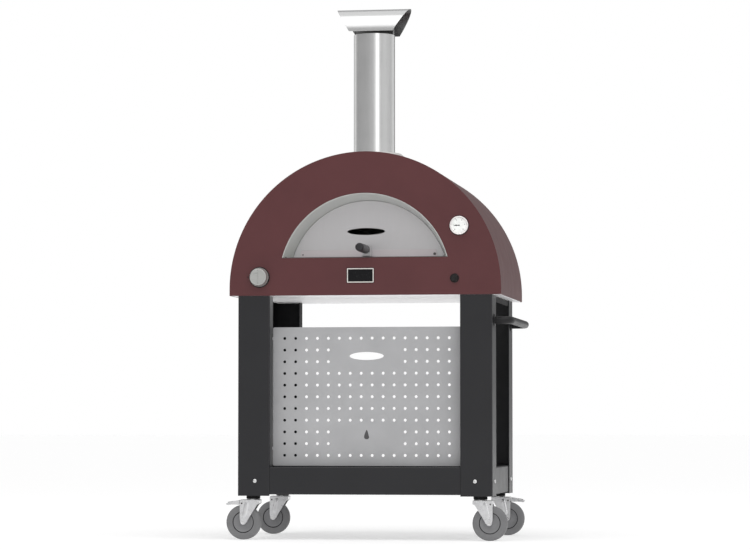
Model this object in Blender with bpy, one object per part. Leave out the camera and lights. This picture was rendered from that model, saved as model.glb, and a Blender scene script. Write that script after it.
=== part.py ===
"""Domed pizza oven on a wheeled stand, built from its separate pieces.

Metres, +Z up. The pieces are laid out from the middle of the oven's front face: X to the right,
Y to the back, Z up from the floor. ROOT then shifts them, so that the world origin is at the
middle of the underside of the whole object's box.
"""
import math

import bmesh
import bpy
from mathutils import Matrix

# ---------------------------------------------------------------- driving dimensions
GAP = 0.0003                # room between pieces that touch
ROUND = 32                  # sides of a round piece, the same for a pin and its hole
ARC = 44                    # sides of a half circle in the vaults

# oven body
VAULT_R = 0.468             # outside radius of the dome
VAULT_Z = 0.8555            # height of the dome's centre
OVEN_Z = 0.8325             # underside of the oven
OVEN_DEPTH = 0.660
PANEL_T = 0.003             # front and back sheets
DOME_T = 0.002
TRAY_T = 0.002
TRAY_TOP = 0.862
TRAY_X = VAULT_R - 0.0035
PIN_R = 0.0055              # holes in the front for the knob's and the button's stems

# mouth and door
MOUTH_R = 0.2953            # arch in the front panel
MOUTH_Z = 0.886             # centre of the arch
HEARTH_Z = 0.963            # cooking floor, and the sill of the mouth
MOUTH_TAPER = 0.0167        # how far the arch closes in on its way to the door
DOOR_Y = 0.094              # front face of the door
DOOR_T = 0.002
DOOR_RETURN = 0.016
DOOR_R = 0.2755
FOOT_HALF = 0.237           # the strip across the foot of the door
FOOT_H = 0.029
FOOT_ROUND = 0.008
SURROUND_BACK = 0.1143
STOP_R = 0.2620             # inner edge of the lip that stops the door
STOP_H = 0.0015
SLOT_AT = (-0.009, 1.0555)
SLOT_HALF = (0.0655, 0.012)

# chamber, floor and insulation
CHAMBER_R = 0.370
CHAMBER_Z = 0.866
CHAMBER_T = 0.0025
CHAMBER_Y = (SURROUND_BACK + GAP, OVEN_DEPTH - 0.060)
HEARTH_X = (-0.296, 0.354)
TILE_T = 0.030
BLANKET_R = VAULT_R - 0.0055
BOARD_LOW_Y = 0.070         # front edge of the board under the hearth

# gas, igniter, thermometer
KNOB_AT = (-0.363, 0.8957)
BUTTON_AT = (0.3095, 0.888)
DIAL_AT = (0.3255, 1.0667)
BADGE_AT = (-0.0135, 0.8997)
BADGE_HALF = (0.0475, 0.026)
BURNER_AT = (-0.328, 0.946)
INLET_Y = 0.035
INLET_R = 0.006             # gas inlet that comes down through the tray
BUTTON_STEM_R = 0.0045
STEM_R = 0.004              # valve stem
PIPE_R = 0.007
PIPE_END_Y = 0.520
DIAL_R = 0.0315

# chimney
FLUE_R = 0.0718
FLUE_T = 0.0015
FLUE_Y = 0.220
FLUE_Z = (1.226, 1.749)
COLLAR_R = (0.126, 0.092)    # at the dome, and where the cone ends
COLLAR_Z = (1.293, 1.308, 1.334)
COWL_R = 0.084
COWL_Z = 1.755
STRAP_HALF = 0.010          # half width of the strap that holds the cowl
COWL_HALF = (0.0765, 0.129)  # half length at the bottom edge and at the top

# stand
STAND_X = 0.4375
STAND_DEPTH = 0.620
LEG_W = 0.110
LEG_T = 0.003
LEG_Z = (0.150, OVEN_Z - GAP)
LEG_RETURN = 0.058
FOOT_PLATE = 0.092          # square plate that closes the foot of the leg
RAIL_LIP = 0.030
ANGLE = 0.020               # legs of the top rails' angle
RAIL_Z = (0.1548, 0.2488)
SIDE_RAIL_Y = 0.034         # how far a side rail stops short of the stand's front
BOARD_X = 0.325             # half width of the perforated panel
BOARD_Z = (0.2519, 0.7257)
BOARD_Y = 0.050
BOARD_T = 0.002
BOARD_LIFT = 0.012
HOLE_R = 0.005
HOLE_PITCH_Z = 0.040
HOLE_FIELD_X = 0.2845       # middle of the panel to its outermost holes
HOLE_MARGIN = 0.038         # top edge to the first row
HOLE_COLUMNS = 16
HOLE_ROWS = 11
TAB_Z = (0.312, 0.687)
TAB_HALF = 0.005
HAND_HOLE_Z = 0.6265
HAND_HOLE_HALF = (0.059, 0.0135)
HANDLE_R = 0.013
HANDLE_Z = 0.747
HANDLE_Y = (0.056, STAND_DEPTH - 0.056)
HANDLE_BEND = 0.036
HANDLE_OUT = 0.055          # side face to the middle of the push handle's grip

# casters
SWIVEL_X = 0.3915
SWIVEL_Y = (0.043, STAND_DEPTH - 0.043)
WHEEL_R = 0.0593
WHEEL_HALF = 0.015
HUB_R = 0.0345              # recessed middle of the wheel
TRAIL = 0.0328              # swivel axis to wheel axis
FORK_HALF = WHEEL_HALF + 0.0033
FORK_BACK = 0.0435          # swivel axis to the fork's trailing edge
CROWN_Z = (0.1225, 0.1365)
STUD_R = 0.006
RACE_R = 0.023              # the swivel's ball race on top of the fork
SPACER_R = 0.024
AXLE_HEAD_R = 0.0075
AXLE_R = 0.005
SPACER_Z = 0.1400            # underside of the spacer under the leg
LEVER_HALF = 0.013
LEVER_REACH = 0.093
LEVER_PIVOT = (0.0492, 0.1315)

# door handle
GRIP_R = 0.0148
BRACKET_HALF = 0.0135
GRIP_Y = (-0.110, 0.039)
GRIP_Z = 0.990

# ---------------------------------------------------------------- colours and finishes
BURGUNDY = ((0.120, 0.048, 0.051), 0.45, 0.0)
GREY_STEEL = ((0.402, 0.397, 0.402), 0.40, 0.6)
PALE_STEEL = ((0.800, 0.800, 0.807), 0.40, 0.4)
STAINLESS = ((0.600, 0.600, 0.600), 0.20, 1.0)
CHARCOAL = ((0.037, 0.037, 0.040), 0.50, 0.0)
BLACK = ((0.012, 0.012, 0.013), 0.45, 0.0)
ZINC = ((0.520, 0.520, 0.530), 0.25, 1.0)
KNOB_GREY = ((0.412, 0.435, 0.402), 0.35, 0.3)
GRIP_GREY = ((0.051, 0.048, 0.051), 0.50, 0.0)
WHEEL_GREY = ((0.250, 0.250, 0.255), 0.60, 0.0)
FIREBRICK = ((0.560, 0.440, 0.310), 0.90, 0.0)
FIBRE = ((0.780, 0.770, 0.740), 0.95, 0.0)
BRASS = ((0.600, 0.430, 0.160), 0.30, 1.0)
WHITE = ((0.850, 0.850, 0.850), 0.50, 0.0)
CLEAR = ((0.900, 0.950, 0.950), 0.05, 0.0)


# ---------------------------------------------------------------- scene
def clear_scene():
    for obj in list(bpy.data.objects):
        bpy.data.objects.remove(obj, do_unlink=True)


def make_root():
    """Empty that carries everything and puts the origin under the middle of the whole box."""
    low_x = -(SWIVEL_X + LEVER_REACH)
    high_x = STAND_X + GAP + HANDLE_OUT + HANDLE_R
    root = bpy.data.objects.new("root_frame", None)
    root.location = (-(low_x + high_x) / 2, -(GRIP_Y[0] + OVEN_DEPTH) / 2, 0)
    bpy.context.collection.objects.link(root)
    return root


def material(name, finish):
    colour, roughness, metallic = finish
    mat = bpy.data.materials.new(name)
    mat.use_nodes = True
    shader = mat.node_tree.nodes["Principled BSDF"]
    shader.inputs["Base Color"].default_value = (*colour, 1)
    shader.inputs["Roughness"].default_value = roughness
    shader.inputs["Metallic"].default_value = metallic
    mat.diffuse_color = (*colour, 1)
    return mat


def add(name, mesh, finish, at=(0, 0, 0), turn_z=0.0):
    """Link a mesh as a named piece under the root, with its own material."""
    obj = bpy.data.objects.new(name, mesh)
    obj.parent = ROOT
    obj.location = at
    obj.rotation_euler = (0, 0, turn_z)
    bpy.context.collection.objects.link(obj)
    obj.data.materials.clear()
    obj.data.materials.append(material(name, finish))
    return obj


def boolean(obj, mesh, operation="DIFFERENCE"):
    """Cut or join a helper mesh, given in the piece's own frame."""
    helper = bpy.data.objects.new(obj.name + "_tool", mesh)
    helper.parent = obj
    helper.hide_render = True
    helper.display_type = "WIRE"
    bpy.context.collection.objects.link(helper)
    modifier = obj.modifiers.new(operation.lower(), "BOOLEAN")
    modifier.operation = operation
    modifier.solver = "EXACT"
    modifier.object = helper


# ---------------------------------------------------------------- mesh makers
def finish_mesh(bm, smooth=False):
    """Face everything outward and turn the bmesh into a mesh."""
    bmesh.ops.recalc_face_normals(bm, faces=bm.faces)
    if bm.calc_volume(signed=True) < 0:
        bmesh.ops.reverse_faces(bm, faces=bm.faces)
    mesh = bpy.data.meshes.new("mesh")
    bm.to_mesh(mesh)
    bm.free()
    if smooth:
        mesh.shade_smooth()
        mesh.set_sharp_from_angle(angle=math.radians(35))
    return mesh


def box(low, high):
    """Block between two corners."""
    bm = bmesh.new()
    bmesh.ops.create_cube(bm, size=1)
    for vert in bm.verts:
        for axis in range(3):
            vert.co[axis] = high[axis] if vert.co[axis] > 0 else low[axis]
    return finish_mesh(bm)


AXES = {
    "X": lambda u, v, w: (w, u, v),
    "Y": lambda u, v, w: (u, w, v),
    "Z": lambda u, v, w: (u, v, w),
}


def prism(outline, low, high, axis="Y", holes=()):
    """Flat outline, with holes, drawn across the axis and pulled along it from low to high."""
    place = AXES[axis]
    bm = bmesh.new()
    edges = []
    for loop in (outline, *holes):
        ring = [bm.verts.new(place(u, v, low)) for u, v in loop]
        edges += [bm.edges.new((a, b)) for a, b in zip(ring, ring[1:] + ring[:1])]
    bmesh.ops.triangle_fill(bm, edges=edges, use_beauty=True)
    faces = list(bm.faces)
    pulled = bmesh.ops.extrude_face_region(bm, geom=faces, use_keep_orig=True)
    moved = [item for item in pulled["geom"] if isinstance(item, bmesh.types.BMVert)]
    step = place(0, 0, high - low)
    bmesh.ops.translate(bm, verts=moved, vec=step)
    return finish_mesh(bm, smooth=True)


def arc(centre, radius, start, end, sides):
    """Points along an arc, in degrees, both ends included."""
    angles = [math.radians(start + (end - start) * i / sides) for i in range(sides + 1)]
    return [(centre[0] + radius * math.cos(a), centre[1] + radius * math.sin(a)) for a in angles]


def circle(centre, radius, sides=ROUND):
    return arc(centre, radius, 0, 360, sides)[:-1]


def ellipse(centre, half, sides=24):
    points = arc((0, 0), 1, 0, 360, sides)[:-1]
    return [(centre[0] + half[0] * u, centre[1] + half[1] * v) for u, v in points]


def vault(radius, centre_z, floor_z, sides=ARC):
    """Arch outline: a half circle on short straight sides that end at floor_z."""
    return arc((0, centre_z), radius, 0, 180, sides) + [(-radius, floor_z), (radius, floor_z)]


def arch(radius, centre_z, floor_z, sides=28):
    """Part of a circle above a straight sill that is higher than its centre."""
    rise = math.degrees(math.asin((floor_z - centre_z) / radius))
    return arc((0, centre_z), radius, rise, 180 - rise, sides)


def lathe(profile, axis="Z", closed=False, sides=ROUND):
    """Turned body: (radius, height) points about the axis. An open profile gets flat ends."""
    place = AXES[axis]
    bm = bmesh.new()
    rings = []
    for radius, height in profile:
        points = circle((0, 0), radius, sides)
        rings.append([bm.verts.new(place(u, v, height)) for u, v in points])
    pairs = list(zip(rings, rings[1:]))
    if closed:
        pairs.append((rings[-1], rings[0]))
    else:
        bm.faces.new(rings[0])
        bm.faces.new(rings[-1])
    for one, two in pairs:
        for i in range(sides):
            j = (i + 1) % sides
            bm.faces.new((one[i], one[j], two[j], two[i]))
    return finish_mesh(bm, smooth=True)


def rod(radius, low, high, axis="Z", sides=ROUND):
    return lathe([(radius, low), (radius, high)], axis, sides=sides)


def tube_curve(points, radius, resolution=2):
    """Round bar along a list of points, with filled ends."""
    curve = bpy.data.curves.new("tube", "CURVE")
    curve.dimensions = "3D"
    curve.bevel_depth = radius
    curve.bevel_resolution = resolution
    curve.use_fill_caps = True
    spline = curve.splines.new("POLY")
    spline.points.add(len(points) - 1)
    for target, point in zip(spline.points, points):
        target.co = (*point, 1)
    return curve


# ---------------------------------------------------------------- oven shell
def add_front_panel():
    holes = [
        arch(MOUTH_R, MOUTH_Z, HEARTH_Z - DOME_T - GAP),
        circle(KNOB_AT, PIN_R, 12),
        circle(BUTTON_AT, PIN_R, 12),
        circle(DIAL_AT, PIN_R, 12),
    ]
    outline = vault(VAULT_R, VAULT_Z, OVEN_Z)
    add("front_panel", prism(outline, 0, PANEL_T, holes=holes), BURGUNDY)


def flue_hole(radius, low, high):
    """Cutter for the round hole that lets the flue through."""
    hole = rod(radius, low, high)
    hole.transform(Matrix.Translation((0, FLUE_Y, 0)))
    return hole


def add_outer_dome():
    inside = vault(VAULT_R - DOME_T, VAULT_Z, OVEN_Z)
    outline = vault(VAULT_R, VAULT_Z, OVEN_Z)[:-2] + [(-VAULT_R, OVEN_Z), inside[-2]]
    outline += list(reversed(inside[:-2])) + [inside[-1], (VAULT_R, OVEN_Z)]
    low = PANEL_T + GAP
    dome = add("outer_dome", prism(outline, low, OVEN_DEPTH - PANEL_T - GAP), BURGUNDY)
    top = VAULT_Z + VAULT_R
    boolean(dome, flue_hole(FLUE_R + 2 * GAP, top - 0.05, top + 0.05))


def add_rear_cover():
    outline = vault(VAULT_R, VAULT_Z, OVEN_Z)
    add("rear_cover", prism(outline, OVEN_DEPTH - PANEL_T, OVEN_DEPTH), BURGUNDY)


def add_base_tray():
    low = PANEL_T + 2 * GAP
    high = OVEN_DEPTH - PANEL_T - 2 * GAP
    tray = add("base_tray", box((-TRAY_X, low, OVEN_Z), (TRAY_X, high, TRAY_TOP)), PALE_STEEL)
    room = box((-TRAY_X + TRAY_T, low + TRAY_T, OVEN_Z + PANEL_T),
               (TRAY_X - TRAY_T, high - TRAY_T, TRAY_TOP + 0.01))
    boolean(tray, room)
    hole = rod(INLET_R + 0.0015, OVEN_Z - 0.01, OVEN_Z + 0.01, sides=12)
    hole.transform(Matrix.Translation((KNOB_AT[0], INLET_Y, 0)))
    boolean(tray, hole)


def add_mouth_surround():
    """Tapered arch sheet: outside, then a stop lip at the back, then the inside."""
    front = GAP
    outer = MOUTH_R - GAP
    sill = HEARTH_Z - DOME_T
    inner = outer - DOME_T
    stations = [
        (front, outer, sill),
        (DOOR_Y, outer - MOUTH_TAPER, sill),
        (SURROUND_BACK, outer - MOUTH_TAPER, sill),
        (SURROUND_BACK, STOP_R, HEARTH_Z + STOP_H),
        (SURROUND_BACK - DOME_T, STOP_R, HEARTH_Z + STOP_H),
        (SURROUND_BACK - DOME_T, inner - MOUTH_TAPER, HEARTH_Z),
        (DOOR_Y, inner - MOUTH_TAPER, HEARTH_Z),
        (front, inner, HEARTH_Z),
    ]
    bm = bmesh.new()
    rings = [[bm.verts.new((x, y, z)) for x, z in arch(radius, MOUTH_Z, floor)]
             for y, radius, floor in stations]
    for one, two in zip(rings, rings[1:] + rings[:1]):
        for i in range(len(one)):
            j = (i + 1) % len(one)
            bm.faces.new((one[i], one[j], two[j], two[i]))
    add("mouth_surround", finish_mesh(bm, smooth=True), GREY_STEEL)


def add_badge():
    x, z = BADGE_AT
    half_x, half_z = BADGE_HALF
    outline = rounded_box(x - half_x, z - half_z, x + half_x, z + half_z, 0.003)
    add("badge_plate", prism(outline, -0.0018, -GAP), BLACK)


def rounded_box(low_u, low_v, high_u, high_v, radius, sides=3):
    corners = [(high_u - radius, high_v - radius, 0), (low_u + radius, high_v - radius, 90),
               (low_u + radius, low_v + radius, 180), (high_u - radius, low_v + radius, 270)]
    points = []
    for u, v, start in corners:
        points += arc((u, v), radius, start, start + 90, sides)
    return points


# ---------------------------------------------------------------- inside of the oven
def add_chamber():
    low, high = CHAMBER_Y
    outside = arc((0, CHAMBER_Z), CHAMBER_R + CHAMBER_T, 0, 180, ARC)
    chamber = add("chamber", prism(outside, low, high), GREY_STEEL)
    inside = vault(CHAMBER_R, CHAMBER_Z, CHAMBER_Z - 0.005)
    boolean(chamber, prism(inside, low + CHAMBER_T, high - CHAMBER_T))
    mouth = arch(STOP_R, MOUTH_Z, HEARTH_Z - GAP)
    boolean(chamber, prism(mouth, low - 0.005, low + 0.010))
    top = CHAMBER_Z + CHAMBER_R
    boolean(chamber, flue_hole(FLUE_R + 2 * GAP, top - 0.03, top + 0.03))
    burner = rod(PIPE_R + 0.002, low - 0.005, low + 0.010, "Y", sides=12)
    burner.transform(Matrix.Translation((BURNER_AT[0], 0, BURNER_AT[1])))
    boolean(chamber, burner)


def add_insulation():
    high = OVEN_DEPTH - PANEL_T - 3 * GAP
    bottom = TRAY_TOP + 0.0044
    low = CHAMBER_Y[0] + 0.003
    outside = vault(BLANKET_R, VAULT_Z, VAULT_Z - 0.01, 36)
    blanket = add("insulation_blanket", prism(outside, low, high), FIBRE)
    boolean(blanket, box((-VAULT_R, 0, OVEN_Z - 0.05), (VAULT_R, OVEN_DEPTH, bottom)))
    inside = vault(CHAMBER_R + CHAMBER_T + 2 * GAP, CHAMBER_Z, CHAMBER_Z - 0.03)
    boolean(blanket, prism(inside, low - 0.01, CHAMBER_Y[1] + GAP))
    boolean(blanket, flue_hole(FLUE_R + 0.002, CHAMBER_Z + CHAMBER_R - 0.03, VAULT_Z + VAULT_R))
    board_x = TRAY_X - TRAY_T - GAP
    floor = OVEN_Z + PANEL_T + GAP
    board = box((-board_x, BOARD_LOW_Y, floor), (board_x, high - TRAY_T, CHAMBER_Z - GAP))
    add("insulation_board", board, FIBRE)


def add_hearth():
    low, high = CHAMBER_Y[0] + CHAMBER_T + GAP, CHAMBER_Y[1] - CHAMBER_T - GAP
    top = HEARTH_Z - TILE_T
    base = box((HEARTH_X[0], low, CHAMBER_Z), (HEARTH_X[1], high, top - GAP))
    add("hearth_base", base, FIREBRICK)
    middle = sum(HEARTH_X) / 2
    spans = {"left": (HEARTH_X[0], middle - GAP), "right": (middle + GAP, HEARTH_X[1])}
    for side, (left, right) in spans.items():
        tile = box((left, low, top), (right, high, HEARTH_Z))
        add("hearth_tile_" + side, tile, FIREBRICK)


def add_gas():
    """Valve behind the panel with its stem, knob and burner pipe."""
    x, z = KNOB_AT
    bore = STEM_R + 0.0004
    front, back = PANEL_T + 2 * GAP, 0.060
    body = lathe([(bore, 0.024), (bore, front), (0.018, front), (0.018, back)], "Y", sides=20)
    valve = add("gas_valve", body, BRASS, at=(x, 0, z))
    inlet = rod(INLET_R, OVEN_Z - 0.016 - z, -0.010, sides=12)
    inlet.transform(Matrix.Translation((0, INLET_Y, 0)))
    boolean(valve, inlet, "UNION")
    add("valve_stem", rod(STEM_R, -0.0135, 0.0180, "Y", sides=20), BRASS, at=(x, 0, z))
    knob = lathe([(bore, -0.0140), (bore, -0.0055), (0.0325, -0.0055), (0.0325, -0.0110),
                  (0.0290, -0.0130), (0.0275, -0.0300), (0.0255, -0.0320)], "Y", sides=28)
    add("control_knob", knob, KNOB_GREY, at=(x, 0, z))
    end_x, end_z = BURNER_AT
    start_y, wall_y = back + 0.006, CHAMBER_Y[0] - 0.008
    points = [(x, back + GAP, z)]
    for i in range(9):
        t = i / 8
        ease = t * t * (3 - 2 * t)
        points.append((x + (end_x - x) * ease, start_y + (wall_y - start_y) * t,
                       z + (end_z - z) * ease))
    points.append((end_x, PIPE_END_Y, end_z))
    add("burner_pipe", tube_curve(points, PIPE_R, 1), STAINLESS)


def add_igniter():
    x, z = BUTTON_AT
    front = PANEL_T + 2 * GAP
    bore = BUTTON_STEM_R + 0.0005
    body = lathe([(bore, 0.0170), (bore, front), (0.011, front), (0.011, 0.045)], "Y", sides=20)
    add("igniter_body", body, BLACK, at=(x, 0, z))
    button = lathe([(BUTTON_STEM_R, 0.0080), (BUTTON_STEM_R, -0.0050), (0.0120, -0.0050), (0.0120, -0.0090),
                    (0.0105, -0.0105)], "Y", sides=20)
    add("igniter_button", button, BLACK, at=(x, 0, z))


def add_thermometer():
    x, z = DIAL_AT
    rim = DIAL_R - 0.003
    case = lathe([(rim, -0.0045), (rim, -0.0095), (DIAL_R, -0.0095), (DIAL_R, -GAP),
                  (0.0040, -GAP), (0.0040, 0.060)], "Y", sides=28)
    add("thermometer_case", case, WHITE, at=(x, 0, z))
    needle = [(0.003, 0.0012), (0.0015, 0.003), (-0.0015, 0.003), (-0.004, 0.0012),
              (-0.0185, 0.0003), (-0.0185, -0.0003), (-0.004, -0.0012), (-0.0015, -0.003),
              (0.0015, -0.003), (0.003, -0.0012)]
    add("thermometer_needle", prism(needle, -0.0066, -0.0058), BLACK, at=(x, 0, z))
    lens = rod(rim - 0.0005, -0.0088, -0.0076, "Y", sides=28)
    add("thermometer_lens", lens, CLEAR, at=(x, 0, z))


# ---------------------------------------------------------------- chimney
def add_chimney():
    bore = FLUE_R + GAP
    foot, shoulder, top = COLLAR_Z
    cone = lathe([(bore, foot), (COLLAR_R[0], foot), (COLLAR_R[0], shoulder), (COLLAR_R[1], top),
                  (bore, top)], closed=True)
    collar = add("flue_collar", cone, PALE_STEEL, at=(0, FLUE_Y, 0))
    saddle = prism(vault(VAULT_R + GAP, VAULT_Z, 0.8), -0.2, 0.2)
    boolean(collar, saddle)
    inner = FLUE_R - FLUE_T
    low, high = FLUE_Z
    pipe = lathe([(FLUE_R, low), (FLUE_R, high), (inner, high), (inner, low)], closed=True)
    add("flue_pipe", pipe, STAINLESS, at=(0, FLUE_Y, 0))
    add_cowl()


def add_cowl():
    """Half cylinder lying across the flue, its ends leaning out towards the top."""
    inner = COWL_R - FLUE_T
    outline = arc((0, 0), COWL_R, 0, 180, ROUND // 2) + arc((0, 0), inner, 180, 0, ROUND // 2)
    half_low, half_high = COWL_HALF
    mesh = prism(outline, -1, 1, "X")
    lean = (half_high - half_low) / COWL_R
    for vert in mesh.vertices:
        side = 1 if vert.co.x > 0 else -1
        vert.co.x = side * (half_low + lean * vert.co.z)
    add("chimney_cowl", mesh, STAINLESS, at=(0, FLUE_Y, COWL_Z))
    # one strap: two legs inside the flue and a bar under the top of the cowl
    half = STRAP_HALF
    leg_x = inner_flue_x(half) - GAP
    top = COWL_Z + math.sqrt(inner ** 2 - half ** 2) - 3 * GAP
    thick = 0.0020
    low = FLUE_Z[1] - 0.059
    outline = [(-leg_x, low), (-leg_x + thick, low), (-leg_x + thick, top - thick),
               (leg_x - thick, top - thick), (leg_x - thick, low), (leg_x, low), (leg_x, top),
               (-leg_x, top)]
    add("cowl_strap", prism(outline, -half, half), STAINLESS, at=(0, FLUE_Y, 0))


def inner_flue_x(half_width):
    """How far out a flat strap of this half width fits in the flue, whose walls are flats."""
    inner = (FLUE_R - FLUE_T) * math.cos(math.pi / ROUND)
    return math.sqrt(inner ** 2 - half_width ** 2)


# ---------------------------------------------------------------- door
def add_door():
    sill = HEARTH_Z + 0.0005
    slot = ellipse(SLOT_AT, SLOT_HALF)
    shell = add("door_panel", prism(arch(DOOR_R, MOUTH_Z, sill), DOOR_Y, DOOR_Y + DOOR_RETURN),
                GREY_STEEL)
    room = arch(DOOR_R - DOOR_T, MOUTH_Z, sill + DOOR_T)
    boolean(shell, prism(room, DOOR_Y + DOOR_T, DOOR_Y + DOOR_RETURN + 0.01))
    boolean(shell, prism(slot, DOOR_Y - 0.01, DOOR_Y + 0.01))
    liner = arch(DOOR_R - DOOR_T - GAP, MOUTH_Z, sill + DOOR_T + GAP)
    back = DOOR_Y + DOOR_RETURN - 0.001
    add("door_liner", prism(liner, back - DOOR_T, back, holes=[slot]), GREY_STEEL)
    round_x = FOOT_HALF - FOOT_ROUND
    round_z = HEARTH_Z + FOOT_H - FOOT_ROUND
    foot = [(FOOT_HALF, sill)] + arc((round_x, round_z), FOOT_ROUND, 0, 90, 4)
    foot += arc((-round_x, round_z), FOOT_ROUND, 90, 180, 4) + [(-FOOT_HALF, sill)]
    foot_front = DOOR_Y - GAP - DOOR_T
    add("door_foot", prism(foot, foot_front, DOOR_Y - GAP), GREY_STEEL)
    bracket = box((-BRACKET_HALF, GRIP_Y[1] + GAP, HEARTH_Z + 0.002),
                  (BRACKET_HALF, foot_front - GAP, HEARTH_Z + 0.043))
    add("door_bracket", bracket, GREY_STEEL)
    length = GRIP_Y[1] - GRIP_Y[0]
    grip = lathe([(GRIP_R - 0.003, 0), (GRIP_R, 0.003), (GRIP_R, length - 0.003),
                  (GRIP_R - 0.003, length)], "Y", sides=24)
    add("door_grip", grip, GRIP_GREY, at=(0, GRIP_Y[0], GRIP_Z))


# ---------------------------------------------------------------- stand
def leg_mesh(side, front):
    """Folded leg: front flange, side flange and inner return, in world places."""
    def corner(a, b):
        """a runs inward from the side face, b inward from the front or rear face."""
        x = side * (STAND_X - a)
        y = b if front else STAND_DEPTH - b
        return (x, y)
    t = LEG_T
    outline = [corner(a, b) for a, b in (
        (0, 0), (LEG_W, 0), (LEG_W, LEG_RETURN), (LEG_W - t, LEG_RETURN), (LEG_W - t, t),
        (t, t), (t, LEG_W), (0, LEG_W))]
    return outline, corner


def span(corner, low, high, z_low, z_high):
    """Block between two (a, b) corner places."""
    xs, ys = zip(corner(*low), corner(*high))
    return box((min(xs), min(ys), z_low), (max(xs), max(ys), z_high))


def add_leg(name, side, front):
    outline, corner = leg_mesh(side, front)
    low, high = LEG_Z
    leg = add(name, prism(outline, low, high, "Z"), CHARCOAL)
    t = LEG_T
    notch_top = RAIL_Z[1] + 2 * GAP
    boolean(leg, span(corner, (LEG_W - t - 0.001, t), (LEG_W + 0.001, LEG_RETURN + 0.001),
                      low - 0.01, notch_top))
    plate = span(corner, (t / 2, t / 2), (FOOT_PLATE, FOOT_PLATE), low, low + 0.004)
    boolean(leg, plate, "UNION")
    if front:
        for tab_z in TAB_Z:
            boolean(leg, span(corner, (LEG_W - t - 0.001, BOARD_Y - 0.0006),
                              (LEG_W + 0.001, BOARD_Y + BOARD_T + 0.0006),
                              tab_z - TAB_HALF - GAP, tab_z + TAB_HALF + BOARD_LIFT + 0.001))


def add_legs():
    for side, side_name in ((-1, "left"), (1, "right")):
        for front, end_name in ((True, "front"), (False, "rear")):
            add_leg("leg_" + end_name + "_" + side_name, side, front)


def channel(lip, high, thickness, face_low):
    """C outline: face from the bottom to the top, lips turned inward."""
    t = thickness
    return [(0, face_low), (lip, face_low), (lip, face_low + t), (t, face_low + t),
            (t, high - t), (lip, high - t), (lip, high), (0, high)]


def add_rails():
    low, high = RAIL_Z
    profile = channel(RAIL_LIP, high, LEG_T, low)
    inset = LEG_T + GAP
    half = STAND_X - 2 * LEG_T - 3 * GAP
    front = [(inset + u, v) for u, v in profile]
    rear = [(STAND_DEPTH - inset - u, v) for u, v in profile]
    add("lower_rail_front", prism(front, -half, half, "X"), CHARCOAL)
    add("lower_rail_rear", prism(rear, -half, half, "X"), CHARCOAL)
    y_low = SIDE_RAIL_Y
    y_high = STAND_DEPTH - SIDE_RAIL_Y
    angle_low, angle_high = LEG_Z[1] - ANGLE, LEG_Z[1] - GAP
    t = LEG_T
    angle = [(0, angle_low), (t, angle_low), (t, angle_high - t), (ANGLE, angle_high - t),
             (ANGLE, angle_high), (0, angle_high)]
    for side, name in ((-1, "left"), (1, "right")):
        outer = STAND_X - inset
        low_rail = [(side * (outer - u), v) for u, v in profile]
        add("lower_rail_" + name, prism(low_rail, y_low, y_high), CHARCOAL)
        top_rail = [(side * (outer - u), v) for u, v in angle]
        add("top_rail_" + name, prism(top_rail, y_low, y_high), CHARCOAL)


def board_holes():
    """Grid of small holes, left out in the middle around the hand hole and near the bottom."""
    pitch_x = 2 * HOLE_FIELD_X / (HOLE_COLUMNS - 1)
    top = BOARD_Z[1] - HOLE_MARGIN
    holes = []
    for row in range(HOLE_ROWS):
        for column in range(HOLE_COLUMNS):
            middle = 5 <= column <= 10
            if middle and row in (1, 2, 8, 9):
                continue
            x = -HOLE_FIELD_X + pitch_x * column
            holes.append(circle((x, top - HOLE_PITCH_Z * row), HOLE_R, 6))
    return holes


def add_perforated_panel():
    low, high = BOARD_Z
    x, r, tab, reach = BOARD_X, 0.005, TAB_HALF, 0.008
    outline = arc((x - r, high - r), r, 0, 90, 3) + arc((-x + r, high - r), r, 90, 180, 3)
    for z in reversed(TAB_Z):
        outline += [(-x, z + tab), (-x - reach, z + tab), (-x - reach, z - tab), (-x, z - tab)]
    outline += arc((-x + r, low + r), r, 180, 270, 3) + arc((x - r, low + r), r, 270, 360, 3)
    for z in TAB_Z:
        outline += [(x, z - tab), (x + reach, z - tab), (x + reach, z + tab), (x, z + tab)]
    holes = [ellipse((0, HAND_HOLE_Z), HAND_HOLE_HALF, 16)] + board_holes()
    board = prism(outline, BOARD_Y, BOARD_Y + BOARD_T, holes=holes)
    add("perforated_panel", board, GREY_STEEL)


def add_push_handle():
    """Round bar bent into a U on the right side of the stand."""
    face = STAND_X + GAP
    bend = HANDLE_BEND
    y_low, y_high = HANDLE_Y
    corner = arc((face + HANDLE_OUT - bend, y_low + bend), bend, 270, 360, 6)
    mirrored = [(x, y_low + y_high - y) for x, y in reversed(corner)]
    points = [(face, y_low)] + corner + mirrored + [(face, y_high)]
    add("push_handle", tube_curve([(x, y, HANDLE_Z) for x, y in points], HANDLE_R, 4), CHARCOAL)


# ---------------------------------------------------------------- casters
def fork_mesh(obj):
    """Cut the wheel's slot, the stud's bore and the axle's bore in the fork's side outline."""
    inner = WHEEL_HALF + 0.0008
    outer = FORK_HALF + 0.01
    boolean(obj, box((-0.05, -inner, 0.03), (0.09, inner, CROWN_Z[0])))
    boolean(obj, rod(RACE_R, CROWN_Z[1] - 0.001, SPACER_Z - GAP, sides=24), "UNION")
    boolean(obj, rod(STUD_R + 0.0004, CROWN_Z[0] - 0.01, SPACER_Z + 0.01, sides=16))
    axle_hole = rod(AXLE_R + GAP, -outer, outer, "Y", sides=16)
    axle_hole.transform(Matrix.Translation((TRAIL, 0, WHEEL_R)))
    boolean(obj, axle_hole)


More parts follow.
